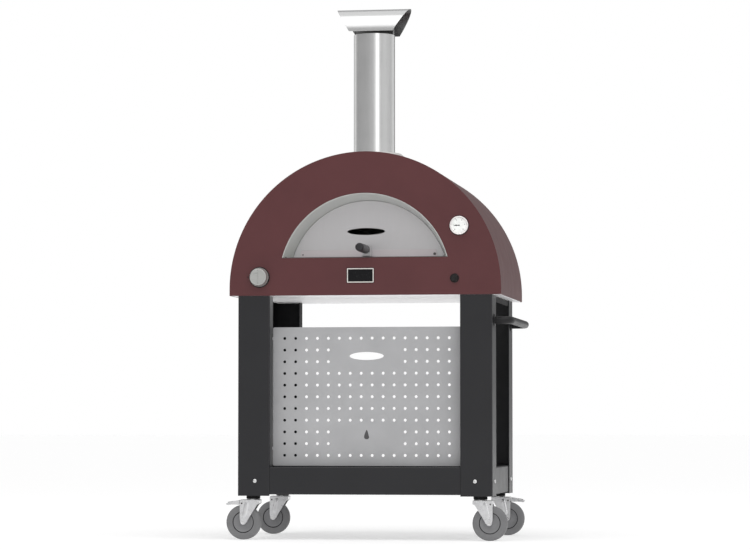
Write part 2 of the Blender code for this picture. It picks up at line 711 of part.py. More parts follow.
def add_caster(place, x, y, trail_side, braked):
    turn = 0 if trail_side > 0 else math.pi
    at = (x, y, 0)
    stud_low = CROWN_Z[0] + 0.005
    spacer = lathe([(STUD_R, stud_low), (STUD_R, SPACER_Z), (SPACER_R, SPACER_Z),
                    (SPACER_R, LEG_Z[0] - GAP)], sides=24)
    add("caster_spacer_" + place, spacer, BLACK, at=at, turn_z=turn)
    back, crown = FORK_BACK, CROWN_Z[1]
    side_view = [(-0.025, crown - 0.012), (-0.016, crown - 0.018), (0.018, 0.062),
                 (0.022, 0.0545), (0.0275, 0.0510), (0.0385, 0.0510), (back - 0.0005, 0.0570),
                 (back, crown - 0.002), (back - 0.003, crown), (-0.022, crown),
                 (-0.025, crown - 0.003)]
    fork = add("caster_fork_" + place, prism(side_view, -FORK_HALF, FORK_HALF), ZINC, at=at, turn_z=turn)
    fork_mesh(fork)
    axle_at = (x + trail_side * TRAIL, y, WHEEL_R)
    head = FORK_HALF + GAP
    side_half = [(AXLE_R, head), (AXLE_HEAD_R, head), (AXLE_HEAD_R, head + 0.003)]
    axle = lathe([(r, -y_) for r, y_ in reversed(side_half)] + side_half, "Y", sides=14)
    add("caster_axle_" + place, axle, ZINC, at=axle_at)
    flat_r = WHEEL_R / math.cos(math.pi / ROUND)
    w = WHEEL_HALF
    hub_w = w - 0.003
    side_half = [(AXLE_R + GAP, hub_w), (HUB_R, hub_w), (HUB_R + 0.0015, w),
                 (flat_r - 0.007, w), (flat_r, w - 0.008)]
    profile = side_half + [(r, -y_) for r, y_ in reversed(side_half)]
    wheel = lathe(profile, "Y", closed=True)
    wheel.transform(Matrix.Rotation(math.pi / ROUND, 4, "Y"))
    add("caster_wheel_" + place, wheel, WHEEL_GREY, at=axle_at)
    if braked:
        add_brake(place, x, y, turn)


def add_brake(place, x, y, turn):
    """Foot lever on a cross pin just outside the fork's crown."""
    pivot, pivot_z = LEVER_PIVOT
    direction = math.cos(turn)
    at = (x + direction * pivot, y, pivot_z)
    reach = LEVER_REACH - pivot
    outline = arc((0, 0), 0.003, 70, 180, 5)
    outline += [(-0.003, -0.0105), (-0.001, -0.0125), (reach - 0.004, -0.0145),
                (reach, -0.0125), (reach, -0.0075), (reach - 0.003, -0.0050), (0.012, 0.0015)]
    add("brake_lever_" + place, prism(outline, -LEVER_HALF, LEVER_HALF), ZINC, at=at, turn_z=turn)


def add_casters():
    for end_name, y in zip(("front", "rear"), SWIVEL_Y):
        for side, side_name in ((-1, "left"), (1, "right")):
            place = end_name + "_" + side_name
            braked = place in ("front_left", "rear_right")
            add_caster(place, side * SWIVEL_X, y, side, braked)


# ---------------------------------------------------------------- assembly
clear_scene()
ROOT = make_root()
add_front_panel()
add_outer_dome()
add_rear_cover()
add_base_tray()
add_mouth_surround()
add_badge()
add_chamber()
add_insulation()
add_hearth()
add_gas()
add_igniter()
add_thermometer()
add_chimney()
add_door()
add_legs()
add_rails()
add_perforated_panel()
add_push_handle()
add_casters()
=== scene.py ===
"""Looks of the domed pizza oven on its wheeled stand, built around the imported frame.

Metres, +Z up. The pieces are modelled from the middle of the oven's front face: X to the right,
Y to the back, Z up from the floor, the same way as the part itself. ORIGIN moves them into the
frame. Every size that the frame can give is read from a CAD node's box.
"""
import math

import bmesh
import bpy
from mathutils import Matrix, Vector


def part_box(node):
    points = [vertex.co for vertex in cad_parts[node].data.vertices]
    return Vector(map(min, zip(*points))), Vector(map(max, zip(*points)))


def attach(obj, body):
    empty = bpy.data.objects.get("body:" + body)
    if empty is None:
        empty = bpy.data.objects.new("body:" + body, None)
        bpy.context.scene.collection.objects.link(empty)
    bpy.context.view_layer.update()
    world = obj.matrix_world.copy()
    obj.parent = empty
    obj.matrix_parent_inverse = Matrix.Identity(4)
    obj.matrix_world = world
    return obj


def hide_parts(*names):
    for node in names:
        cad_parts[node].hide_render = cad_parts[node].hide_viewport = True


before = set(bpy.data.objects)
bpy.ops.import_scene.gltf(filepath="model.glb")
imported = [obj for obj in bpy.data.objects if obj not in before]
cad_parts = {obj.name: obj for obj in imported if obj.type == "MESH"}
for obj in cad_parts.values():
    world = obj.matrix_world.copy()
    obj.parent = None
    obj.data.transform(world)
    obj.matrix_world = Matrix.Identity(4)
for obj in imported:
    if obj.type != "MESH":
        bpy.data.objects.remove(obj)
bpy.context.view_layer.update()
STAND = "oven_and_stand"


# ---------------------------------------------------------------- sizes read from the frame
FRONT_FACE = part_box("front_panel")
ORIGIN = Vector(((FRONT_FACE[0].x + FRONT_FACE[1].x) / 2, FRONT_FACE[0].y, 0))


def local_box(node):
    """Lowest and highest corner of a CAD node, from the middle of the oven's front face."""
    low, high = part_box(node)
    return low - ORIGIN, high - ORIGIN


def axis_of(node, along):
    """Middle of a CAD node's box, taken to zero along one axis."""
    low, high = local_box(node)
    spot = (low + high) / 2
    setattr(spot, along, 0)
    return spot


def arch_of(node):
    """Radius and centre height of the arch whose chord and rise fill the node's box."""
    low, high = local_box(node)
    half, rise = (high.x - low.x) / 2, high.z - low.z
    radius = (half * half + rise * rise) / (2 * rise)
    return radius, high.z - radius


GAP = 0.0003                     # room between pieces that touch
SHEET = 0.002                    # dome, tray, mouth and door sheets
VAULT_LOW, VAULT_HIGH = local_box("front_panel")
VAULT_R = VAULT_HIGH.x
VAULT_Z = VAULT_HIGH.z - VAULT_R
OVEN_Z = VAULT_LOW.z
PANEL_T = VAULT_HIGH.y
OVEN_DEPTH = local_box("rear_cover")[1].y
MOUTH_R, MOUTH_Z = arch_of("mouth_surround")
MOUTH_LOW, MOUTH_HIGH = local_box("mouth_surround")
SILL = MOUTH_LOW.z + SHEET       # cooking floor
DOOR_R = arch_of("door_panel")[0]
DOOR_LOW, DOOR_HIGH = local_box("door_panel")
MOUTH_TAPER = 0.0167             # how far the arch closes in on its way to the door
STOP_REACH, STOP_H = 0.0166, 0.0015          # the door's stop lip, inward and up from the sill
SLOT_AT, SLOT_HALF = (-0.009, 1.0555), (0.0655, 0.012)      # the air slot in the door
KNOB = axis_of("control_knob", "y")
BUTTON = axis_of("igniter_button", "y")
DIAL = axis_of("thermometer_case", "y")
FLUE = axis_of("flue_pipe", "z")
FLUE_LOW, FLUE_HIGH = local_box("flue_pipe")
FLUE_R = (FLUE_HIGH.x - FLUE_LOW.x) / 2
FLUE_T = 0.0015
LEG_LOW, LEG_HIGH = local_box("leg_front_right")
STAND_X = LEG_HIGH.x
LEG_W = LEG_HIGH.x - LEG_LOW.x
LEG_T = 0.003
LEG_RETURN = 0.058               # depth of the lip that each leg turns in
STAND_DEPTH = local_box("leg_rear_right")[1].y
PLACES = [end + "_" + side for end in ("front", "rear") for side in ("left", "right")]
BRAKED = ("front_left", "rear_right")


# ---------------------------------------------------------------- materials
class Nodes:
    """A node tree, with short calls for the nodes that the finishes and the studio share."""

    def __init__(self, tree):
        self.tree = tree

    def give(self, socket, value):
        """Join another node's output to a socket, or set the socket to a value."""
        if isinstance(value, bpy.types.NodeSocket):
            self.tree.links.new(value, socket)
        else:
            socket.default_value = value

    def node(self, kind, output, inputs, **settings):
        made = self.tree.nodes.new("ShaderNode" + kind)
        for key, value in settings.items():
            setattr(made, key, value)
        for key, value in inputs.items():
            self.give(made.inputs[key], value)
        return made.outputs[output]

    def maths(self, operation, one, two=0.5):
        return self.node("Math", "Value", {0: one, 1: two}, operation=operation)

    def mix(self, factor, one, two):
        return self.node("Mix", "Result", {"Factor": factor, "A": one, "B": two}, data_type="RGBA")

    def ramp(self, source, stops):
        """Ramp of greys: (place from 0 to 1, brightness)."""
        colour = self.node("ValToRGB", "Color", {"Fac": source})
        elements = colour.node.color_ramp.elements
        while len(elements) < len(stops):
            elements.new(0.5)
        for element, (place, level) in zip(elements, stops):
            element.position = place
            element.color = (level, level, level, 1)
        return colour


class Recipe(Nodes):
    """A material's nodes. Each of its calls lays one more effect on the surface."""

    def __init__(self, name, colour, roughness, metallic=0.0, **sockets):
        self.material = bpy.data.materials.new(name)
        self.material.use_nodes = True
        super().__init__(self.material.node_tree)
        self.colour = colour
        self.shader = self.tree.nodes["Principled BSDF"].inputs
        sockets.update(Base_Color=(*colour, 1), Roughness=roughness, Metallic=metallic)
        for socket, value in sockets.items():
            self.shader[socket.replace("_", " ")].default_value = value
        self.place = self.node("TexCoord", "Object", {})

    def noise(self, scale, detail=2.0, stretch=None, rough=0.5):
        """Noise in the object's own coordinates, which stretch scales on each axis."""
        place = self.place
        if stretch:
            place = self.node("Mapping", "Vector", {"Vector": place, "Scale": stretch})
        return self.node("TexNoise", "Fac", {"Vector": place, "Scale": scale, "Detail": detail,
                                             "Roughness": rough})

    def cells(self, scale):
        return self.node("TexVoronoi", "Distance", {"Vector": self.place, "Scale": scale})

    def span(self, source, low, high, out_low=0.0, out_high=1.0):
        """Maps low..high to out_low..out_high, and stops at both ends."""
        return self.node("MapRange", "Result", {"Value": source, "From Min": low, "From Max": high,
                                                "To Min": out_low, "To Max": out_high})

    def tint(self, source, low, high, edge=0.3):
        """Base colour between two multiples of the material's own."""
        shades = [(*(channel * times for channel in self.colour), 1) for times in (low, high)]
        factor = self.span(source, edge, 1 - edge)
        self.give(self.shader["Base Color"], self.mix(factor, *shades))

    def stain(self, source, low, high, amount, colour):
        """Lays some of another colour over the tint, where the source is high."""
        base = self.shader["Base Color"]
        factor = self.span(source, low, high, 0.0, amount)
        self.give(base, self.mix(factor, base.links[0].from_socket, (*colour, 1)))

    def gloss(self, source, low, high):
        self.give(self.shader["Roughness"], self.span(source, 0.3, 0.7, low, high))

    def bump(self, height, distance, strength):
        """Bumps on top of those that are there."""
        normal = self.shader["Normal"]
        inputs = {"Height": height, "Distance": distance, "Strength": strength}
        if normal.is_linked:
            inputs["Normal"] = normal.links[0].from_socket
        self.give(normal, self.node("Bump", "Normal", inputs))


def paint(name, colour, roughness, level=0.35, grain=1100.0, depth=0.00004):
    """Baked enamel or powder coat: slow mottle, fine peel in the surface, a few dull patches."""
    made = Recipe(name, colour, roughness, Specular_IOR_Level=level)
    made.tint(made.noise(9, 4), 0.95, 1.05)
    made.stain(made.noise(grain * 2, 1), 0.72, 0.80, 0.35, [channel * 1.6 for channel in colour])
    made.gloss(made.noise(14, 3), roughness - 0.02, roughness + 0.03)
    made.bump(made.noise(grain, 2), depth, 0.5)
    made.bump(made.noise(38, 1), 0.0003, 0.015)
    return made


def brushed(name, colour, roughness, grain, metallic=1.0, streak=0.06):
    """Brushed sheet: streaks that run along the axis with the small number in grain."""
    made = Recipe(name, colour, roughness, metallic)
    lines = made.noise(1.0, 3, stretch=grain, rough=0.65)
    made.tint(lines, 1 - streak, 1 + streak, edge=0.32)
    made.stain(made.noise(11, 3), 0.52, 0.72, 0.25, [channel * 0.86 for channel in colour])
    lines_and_patches = made.maths("ADD", made.maths("MULTIPLY", lines, 0.6),
                                   made.maths("MULTIPLY", made.noise(16, 2), 0.4))
    made.gloss(lines_and_patches, roughness - 0.05, roughness + 0.06)
    made.bump(lines, 0.00002, 0.45)
    return made


def plated(name, colour, roughness):
    """Zinc plate: fine crystals, faint cloudy passivation, small pits."""
    made = Recipe(name, colour, roughness, 1.0)
    made.tint(made.noise(60, 4), 0.92, 1.05)
    red, green, blue = colour
    made.stain(made.noise(90, 2), 0.60, 0.74, 0.25, [red * 0.92, green * 0.90, blue * 0.80])
    made.gloss(made.noise(120, 2), roughness - 0.04, roughness + 0.07)
    made.bump(made.cells(900), 0.000006, 0.25)
    return made


def moulded(name, colour, roughness, level=0.5, grain=900.0):
    """Moulded plastic or rubber: fine spark-eroded grain and a little dust."""
    made = Recipe(name, colour, roughness, Specular_IOR_Level=level)
    made.tint(made.noise(30, 3), 0.93, 1.07)
    made.stain(made.noise(210, 3), 0.60, 0.76, 0.18, [channel * 0.5 + 0.22 for channel in colour])
    made.gloss(made.noise(55, 2), roughness - 0.05, roughness + 0.07)
    made.bump(made.cells(grain), 0.00003, 0.4)
    return made


def fired(name, colour, pore=260.0, depth=0.0004):
    """Refractory clay: grit, pores and warm and cool firing patches."""
    made = Recipe(name, colour, 0.9)
    made.tint(made.noise(18, 5), 0.84, 1.10)
    made.stain(made.noise(520, 3), 0.60, 0.70, 0.55, [channel * 0.62 for channel in colour])
    made.stain(made.noise(6, 3), 0.55, 0.75, 0.35, [0.33, 0.28, 0.23])
    made.gloss(made.noise(90, 2), 0.82, 0.96)
    made.bump(made.cells(pore), depth, 0.5)
    made.bump(made.noise(700, 3), 0.0002, 0.5)
    return made


def fibrous(name, colour):
    """Ceramic fibre: matted strands and soft lumps."""
    made = Recipe(name, colour, 0.97, Sheen_Weight=0.2)
    strands = made.noise(1.0, 4, stretch=(900, 120, 900), rough=0.7)
    made.tint(strands, 0.88, 1.05)
    made.gloss(strands, 0.92, 0.99)
    made.bump(strands, 0.0006, 0.6)
    made.bump(made.noise(34, 3), 0.004, 0.4)
    return made


def lens_glass():
    """Thin clear lens with faint wipe marks in its gloss."""
    made = Recipe("lens glass", (0.97, 0.98, 0.98), 0.04, Transmission_Weight=1.0, IOR=1.1)
    made.tint(made.noise(40, 2), 0.985, 1.0)
    made.gloss(made.noise(160, 3), 0.02, 0.07)
    made.bump(made.noise(90, 1), 0.00002, 0.05)
    return made


ALONG_X, ALONG_Y, ALONG_Z = (6, 900, 900), (900, 6, 900), (900, 900, 6)
BURGUNDY = (0.094, 0.0285, 0.0305)
CHARCOAL = (0.0155, 0.0155, 0.0175)
RECIPES = {
    "burgundy": paint("burgundy enamel", BURGUNDY, 0.34, level=0.33),
    "burgundy_back": paint("burgundy enamel back", BURGUNDY, 0.40),
    "charcoal": paint("charcoal powder coat", CHARCOAL, 0.34, grain=1700.0, depth=0.00006),
    # darker copy of the charcoal coat: painted shade on faces inside and under the stand
    "charcoal_painted_shade": paint("charcoal coat darkened as painted shade", (0.006, 0.006, 0.007), 0.55, level=0.16),
    # darker copy of the charcoal coat: painted shade on the push bar and its flanges
    "charcoal_bar_painted_shade": paint("charcoal bar coat darkened as painted shade", (0.010, 0.0095, 0.0105), 0.40, level=0.28),
    "pale": brushed("pale tray steel", (0.97, 0.965, 0.97), 0.42, ALONG_X, 0.10, 0.03),
    "satin": brushed("satin door steel", (0.56, 0.548, 0.556), 0.38, ALONG_Z, 0.70, 0.02),
    # pinker copy of the door steel: painted reflection of the burgundy front
    "foot": brushed("satin foot steel tinted with painted reflection", (0.585, 0.535, 0.552), 0.38, ALONG_X, 0.6, 0.03),
    "satin_liner": brushed("satin liner steel", (0.36, 0.355, 0.36), 0.42, ALONG_X, 0.8, 0.05),
    # lighter, greener copy of the door steel: painted light on the mouth sleeve
    "sleeve": brushed("satin mouth steel", (0.60, 0.61, 0.59), 0.42, ALONG_Y, 0.5, 0.03),
    "vault": brushed("heat stained vault steel", (0.40, 0.385, 0.365), 0.45, ALONG_Y, 0.9),
    "panel": paint("grey panel coat", (0.405, 0.405, 0.413), 0.45, level=0.14, grain=1400.0),
    "stainless": brushed("bright flue stainless", (0.69, 0.69, 0.69), 0.20, ALONG_Z, 1.0, 0.025),
    "cowl": brushed("bright cowl stainless", (0.70, 0.70, 0.70), 0.20, ALONG_X, 1.0, 0.03),
    # dark stainless: soot inside the flue, painted shade inside the cowl's hood
    "soot_and_painted_shade": brushed("sooted stainless and painted shade", (0.13, 0.13, 0.13), 0.42, ALONG_X, 0.9, 0.10),
    "collar": brushed("collar steel", (0.72, 0.70, 0.69), 0.40, ALONG_X, 0.6, 0.03),
    "zinc": plated("bright zinc", (0.68, 0.68, 0.69), 0.30),
    # zinc brightened near white: painted highlight on the swivel race and the top of the fork's crown
    "race": plated("swivel race zinc", (0.95, 0.95, 0.955), 0.34),
    "bolt": plated("bolt steel", (0.70, 0.70, 0.70), 0.22),
    # dark fixings; the same dark finish is painted shade on the sill's front edge and inside the
    # forks
    "dark_fixing_and_painted_shade": plated("dark fixing and painted shade", (0.13, 0.12, 0.12), 0.36),
    "knob": brushed("knob aluminium", (0.45, 0.455, 0.44), 0.30, ALONG_X, 0.55, 0.04),
    "brass": plated("valve brass", (0.62, 0.44, 0.17), 0.30),
    "black": moulded("black plastic", (0.008, 0.007, 0.007), 0.30, 0.3),
    "spacer": moulded("black spacer rubber", (0.004, 0.004, 0.004), 0.60, 0.2),
    "grip": moulded("grip plastic", (0.013, 0.012, 0.014), 0.38, 0.42),
    "tyre": moulded("grey tyre rubber", (0.170, 0.170, 0.174), 0.58, grain=700.0),
    "hub": moulded("grey hub plastic", (0.190, 0.190, 0.196), 0.44),
    "groove": moulded("dark wheel seam", (0.015, 0.015, 0.016), 0.70, 0.2),
    "badge": moulded("black badge", (0.006, 0.006, 0.007), 0.35, 0.15),
    "light_trim": brushed("light badge border", (0.74, 0.71, 0.67), 0.35, ALONG_X, 0.2, 0.03),
    "dial": moulded("white dial enamel", (0.96, 0.955, 0.93), 0.40, grain=1600.0),
    "ink": moulded("black dial ink", (0.010, 0.010, 0.011), 0.55, 0.2),
    # pinkish steel: painted reflection of the burgundy front on the dial's case
    "bezel": brushed("dial bezel steel tinted with painted reflection", (0.93, 0.87, 0.865), 0.34, ALONG_X, 0.5, 0.03),
    "inlay": moulded("dark panel inlay", (0.065, 0.063, 0.065), 0.5),
    "tile": fired("hearth tile clay", (0.60, 0.49, 0.36)),
    "bed": fired("refractory bed clay", (0.56, 0.44, 0.31), 180.0, 0.0008),
    "blanket": fibrous("fibre blanket", (0.78, 0.77, 0.74)),
    "board": fibrous("fibre board", (0.72, 0.70, 0.66)),
    "burner": brushed("burner steel", (0.45, 0.44, 0.43), 0.38, ALONG_Y, 1.0, 0.08),
    "lens": lens_glass(),
}
FINISHES = {name: recipe.material for name, recipe in RECIPES.items()}


# ---------------------------------------------------------------- mesh makers
AXES = {
    "X": lambda u, v, w: (w, u, v),
    "Y": lambda u, v, w: (u, w, v),
    "Z": lambda u, v, w: (u, v, w),
}
SMOOTH_BELOW = math.radians(35)              # edges that shade smooth, as the meshes are made
HEAD_SMOOTH_BELOW = math.radians(28)         # on screw heads
ROUND_ABOVE = math.radians(40)               # edges that get a rounded bevel
FLAT_SMOOTH_BELOW = math.radians(50)         # edges that shade smooth after that
VAULT_SIDES, ARCH_SIDES, FOLD_SIDES, CORNER_SIDES = 144, 96, 6, 5


def finish_mesh(bm, smooth_below=SMOOTH_BELOW):
    """Face everything outward, round the shading of gentle edges and make the mesh."""
    bmesh.ops.recalc_face_normals(bm, faces=bm.faces)
    if bm.calc_volume(signed=True) < 0:
        bmesh.ops.reverse_faces(bm, faces=bm.faces)
    mesh = bpy.data.meshes.new("mesh")
    bm.to_mesh(mesh)
    bm.free()
    mesh.shade_smooth()
    mesh.set_sharp_from_angle(angle=smooth_below)
    return mesh


def loft(rings, closed=False, caps=(0, -1), smooth_below=SMOOTH_BELOW):
    """Skin over rings of points. Closed joins the last ring to the first, without end faces."""
    bm = bmesh.new()
    rings = [[bm.verts.new(point) for point in ring] for ring in rings]
    for end in () if closed else caps:
        bm.faces.new(rings[end])
    for one, two in zip(rings, rings[1:] + rings[:1] if closed else rings[1:]):
        for i in range(len(one)):
            j = (i + 1) % len(one)
            bm.faces.new((one[i], one[j], two[j], two[i]))
    return finish_mesh(bm, smooth_below)


def merged(meshes, smooth_below=SMOOTH_BELOW):
    """Separate solids in one mesh."""
    bm = bmesh.new()
    for mesh in meshes:
        bm.from_mesh(mesh)
    return finish_mesh(bm, smooth_below)


def moved(mesh, x=0.0, y=0.0, z=0.0):
    mesh.transform(Matrix.Translation((x, y, z)))
    return mesh


def block(low, high):
    (x0, y0, z0), (x1, y1, z1) = low, high
    return loft([[(x0, y0, z), (x1, y0, z), (x1, y1, z), (x0, y1, z)] for z in (z0, z1)])


def prism(outline, low, high, axis="Y", holes=()):
    """Flat outline, with holes, drawn across the axis and pulled along it from low to high."""
    place = AXES[axis]
    bm = bmesh.new()
    if holes:
        edges = []
        for loop in (outline, *holes):
            ring = [bm.verts.new(place(u, v, low)) for u, v in loop]
            edges += [bm.edges.new((a, b)) for a, b in zip(ring, ring[1:] + ring[:1])]
        bmesh.ops.triangle_fill(bm, edges=edges, use_beauty=True)
    else:
        bm.faces.new([bm.verts.new(place(u, v, low)) for u, v in outline])
    pulled = bmesh.ops.extrude_face_region(bm, geom=list(bm.faces), use_keep_orig=True)
    far_side = [item for item in pulled["geom"] if isinstance(item, bmesh.types.BMVert)]
    bmesh.ops.translate(bm, verts=far_side, vec=place(0, 0, high - low))
    return finish_mesh(bm)


def arc(centre, radius, start, end, sides):
    """Points along an arc, in degrees, both ends included."""
    angles = [math.radians(start + (end - start) * i / sides) for i in range(sides + 1)]
    return [(centre[0] + radius * math.cos(a), centre[1] + radius * math.sin(a)) for a in angles]


def circle(centre, radius, sides=48):
    return arc(centre, radius, 0, 360, sides)[:-1]


def ellipse(centre, half, sides=64):
    return [(centre[0] + half[0] * u, centre[1] + half[1] * v) for u, v in circle((0, 0), 1, sides)]


def vault(radius, floor_z=OVEN_Z):
    """The dome's outline, then its left and right foot."""
    dome = arc((0, VAULT_Z), radius, 0, 180, VAULT_SIDES)
    return dome + [(-radius, floor_z), (radius, floor_z)]


def arch(radius, floor_z):
    """The mouth's outline: part of a circle above a straight sill that is higher than its centre."""
    rise = math.degrees(math.asin((floor_z - MOUTH_Z) / radius))
    return arc((0, MOUTH_Z), radius, rise, 180 - rise, ARCH_SIDES)


def rounded_box(low, high, radius):
    (low_u, low_v), (high_u, high_v) = low, high
    corners = [(high_u - radius, high_v - radius), (low_u + radius, high_v - radius),
               (low_u + radius, low_v + radius), (high_u - radius, low_v + radius)]
    return [point for i, corner in enumerate(corners)
            for point in arc(corner, radius, 90 * i, 90 * i + 90, CORNER_SIDES)]


def lathe(profile, axis="Y", closed=False, sides=96):
    """Turned body: (radius, height) points about the axis. An open profile gets flat ends."""
    place = AXES[axis]
    return loft([[place(u, v, height) for u, v in circle((0, 0), radius, sides)]
                 for radius, height in profile], closed)


def rod(radius, low, high, axis="Z", sides=48):
    return lathe([(radius, low), (radius, high)], axis, sides=sides)


def tube(outer, inner, low, high, sides=96):
    """Plain ring about the Y axis."""
    return lathe([(outer, low), (outer, high), (inner, high), (inner, low)], "Y", True, sides)


def folded(path, thickness, fold_radius):
    """Outline of a sheet of this thickness that follows path, with rounded square folds."""
    half = thickness / 2
    left, right = [], []
    points = [Vector(point) for point in path]
    for i, point in enumerate(points):
        ahead = (points[i + 1] - point).normalized() if i + 1 < len(points) else None
        behind = (point - points[i - 1]).normalized() if i else None
        if ahead is None or behind is None:
            along = ahead or behind
            side = Vector((-along.y, along.x)) * half
            left.append(tuple(point + side))
            right.append(tuple(point - side))
            continue
        turn = math.copysign(1, behind.x * ahead.y - behind.y * ahead.x)
        side_in = Vector((-behind.y, behind.x)) * turn
        side_out = Vector((-ahead.y, ahead.x)) * turn
        centre = point + (ahead - behind) * (fold_radius - half)
        for step in range(FOLD_SIDES + 1):
            share = math.pi / 2 * step / FOLD_SIDES
            spoke = -(side_in * math.cos(share) + side_out * math.sin(share))
            near = tuple(centre + spoke * (fold_radius - thickness))
            far = tuple(centre + spoke * fold_radius)
            left.append(near if turn > 0 else far)
            right.append(far if turn > 0 else near)
    return left + right[::-1]


def swept(path, radius, sides=24):
    """Round bar along a smooth list of points."""
    points = [Vector(point) for point in path]
    up = (points[1] - points[0]).normalized().orthogonal().normalized()
    rings = []
    for i, point in enumerate(points):
        along = (points[min(i + 1, len(points) - 1)] - points[max(i - 1, 0)]).normalized()
        up = (up - along * up.dot(along)).normalized()
        across = along.cross(up)
        rings.append([point + up * u + across * v for u, v in circle((0, 0), radius, sides)])
    return loft(rings)


# ---------------------------------------------------------------- pieces
def bake(obj):
    """Turn what the modifiers give into the piece's own mesh."""
    graph = bpy.context.evaluated_depsgraph_get()
    mesh = bpy.data.meshes.new_from_object(obj.evaluated_get(graph))
    obj.modifiers.clear()
    obj.data = mesh


def cut(obj, mesh):
    """Take a helper mesh, given in the object's own coordinates, out of a piece."""
    helper = bpy.data.objects.new(obj.name + "_tool", mesh)
    bpy.context.collection.objects.link(helper)
    modifier = obj.modifiers.new("difference", "BOOLEAN")
    modifier.operation = "DIFFERENCE"
    modifier.solver = "EXACT"
    modifier.object = helper
    bake(obj)
    bpy.data.objects.remove(helper, do_unlink=True)


def bevel(obj, width, segments):
    modifier = obj.modifiers.new("bevel", "BEVEL")
    modifier.width = width
    modifier.segments = segments
    modifier.limit_method = "ANGLE"
    modifier.angle_limit = ROUND_ABOVE
    modifier.use_clamp_overlap = True
    bake(obj)


def flatten(obj):
    """Keep the shading of flat faces flat right up to their rounded edges."""
    obj.data.shade_smooth()
    obj.data.set_sharp_from_angle(angle=FLAT_SMOOTH_BELOW)
    weighted = obj.modifiers.new("flat faces", "WEIGHTED_NORMAL")
    weighted.mode = "FACE_AREA"
    weighted.weight = 100
    weighted.keep_sharp = True


def piece(name, mesh, finish, slot, body=STAND, at=(0, 0, 0), turn_z=0.0, replaces=(), cuts=(),
          round_by=0.0, segments=2, bores=()):
    """Put a mesh in its place in the frame as a named piece that rides on a body.

    Cuts are made before its edges are rounded, and bores after that, in the stand's own axes."""
    obj = bpy.data.objects.new(name, mesh)
    bpy.context.collection.objects.link(obj)
    for cutter in cuts:
        cut(obj, cutter)
    place = Matrix.Translation(ORIGIN + Vector(at)) @ Matrix.Rotation(turn_z, 4, "Z")
    obj.data.transform(place)
    obj.data.materials.clear()
    obj.data.materials.append(FINISHES[finish])
    if round_by:
        bevel(obj, round_by, segments)
    for bore in bores:
        bore.transform(Matrix.Translation(ORIGIN))
        cut(obj, bore)
    if round_by:
        flatten(obj)
    if replaces:
        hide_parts(*replaces)
    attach(obj, body)
    return obj


def second_finish(obj, finish, chosen):
    """Give the faces that chosen() picks, by their middle and normal, another finish."""
    obj.data.materials.append(FINISHES[finish])
    for face in obj.data.polygons:
        if chosen(face.center, face.normal):
            face.material_index = len(obj.data.materials) - 1


def button_head(radius, height):
    """Domed screw head on the XY plane, facing up, with a hexagon socket."""
    sides, socket = 24, 0.45
    rings = [[(u, v, height * up) for u, v in circle((0, 0), radius * share, sides)]
             for share, up in ((1, 0), (1, 0.30), (0.93, 0.62), (0.74, 0.88), (0.55, 1))]
    hexagon = []
    for k in range(sides):
        angle, flat = 2 * math.pi * k / sides, math.pi / 6
        part = (angle + flat) % (2 * flat) - flat
        reach = radius * socket * math.cos(flat) / math.cos(part)
        hexagon.append((reach * math.cos(angle), reach * math.sin(angle)))
    rings += [[(u, v, height * up) for u, v in hexagon] for up in (0.98, 0.35)]
    return loft(rings, smooth_below=HEAD_SMOOTH_BELOW)


FACING = {
    "front": Matrix.Rotation(math.pi / 2, 4, "X"),
    "back": Matrix.Rotation(-math.pi / 2, 4, "X"),
    "right": Matrix.Rotation(math.pi / 2, 4, "Y"),
    "left": Matrix.Rotation(-math.pi / 2, 4, "Y"),
    "up": Matrix.Identity(4),
}


def fixings(name, spots, facing, radius, height, finish, slot, body=STAND):
    """Screw heads or rivets at several spots, as one piece of separate solids."""
    heads = [button_head(radius, height) for _ in spots]
    for head, spot in zip(heads, spots):
        head.transform(Matrix.Translation(spot) @ FACING[facing])
    return piece(name, merged(heads, HEAD_SMOOTH_BELOW), finish, slot, body)


# ---------------------------------------------------------------- oven shell
def make_front():
    """Front sheet with the mouth, and small holes behind the knob, the button and the dial."""
    mouth = arch(MOUTH_R + GAP, MOUTH_LOW.z - GAP)
    stem_hole = 0.0055
    bores = [moved(rod(stem_hole, -0.01, 0.01, "Y", sides=24), *spot)
             for spot in (KNOB, BUTTON, DIAL)]
    piece("front_shell", prism(vault(VAULT_R), 0, PANEL_T, holes=[mouth]), "burgundy",
          "burgundy_paint", replaces=["front_panel"], round_by=0.0008, bores=bores)


def make_dome():
    """Sheet vault with straight feet and a round hole for the flue."""
    low, high = local_box("outer_dome")
    outer, inner = vault(VAULT_R), vault(VAULT_R - SHEET)
    outline = outer[:-1] + inner[-2::-1] + [inner[-1], outer[-1]]
    top, through = VAULT_Z + VAULT_R, 0.05
    hole = moved(rod(FLUE_R + 2 * GAP, top - through, top + through), y=FLUE.y)
    piece("dome_shell", prism(outline, low.y, high.y), "burgundy", "burgundy_paint",
          replaces=["outer_dome"], cuts=[hole], round_by=0.0006)


def make_rear():
    """Rear sheet with a ring of small screws, each sunk in a shallow seat."""
    low = local_box("rear_cover")[0].y
    head_r, head_h = 0.0056, 0.0011
    ring, row_z, seat = VAULT_R - 0.016, OVEN_Z + 0.014, OVEN_DEPTH - head_h - 0.0001
    row_reach = ring * 0.9
    spots = [(x, seat, z) for x, z in arc((0, VAULT_Z), ring, 0, 180, 12)]
    spots += [(row_reach * (i / 3 - 1), seat, row_z) for i in range(7)]
    sinks = merged(moved(rod(head_r + 0.0006, y, y + 0.01, "Y", sides=24), x, 0, z)
                   for x, y, z in spots)
    piece("rear_shell", prism(vault(VAULT_R), low, OVEN_DEPTH), "burgundy_back", "burgundy_paint",
          replaces=["rear_cover"], round_by=0.0009, bores=[sinks])
    fixings("rear_screws", spots, "back", head_r, head_h, "bolt", "collar_steel")


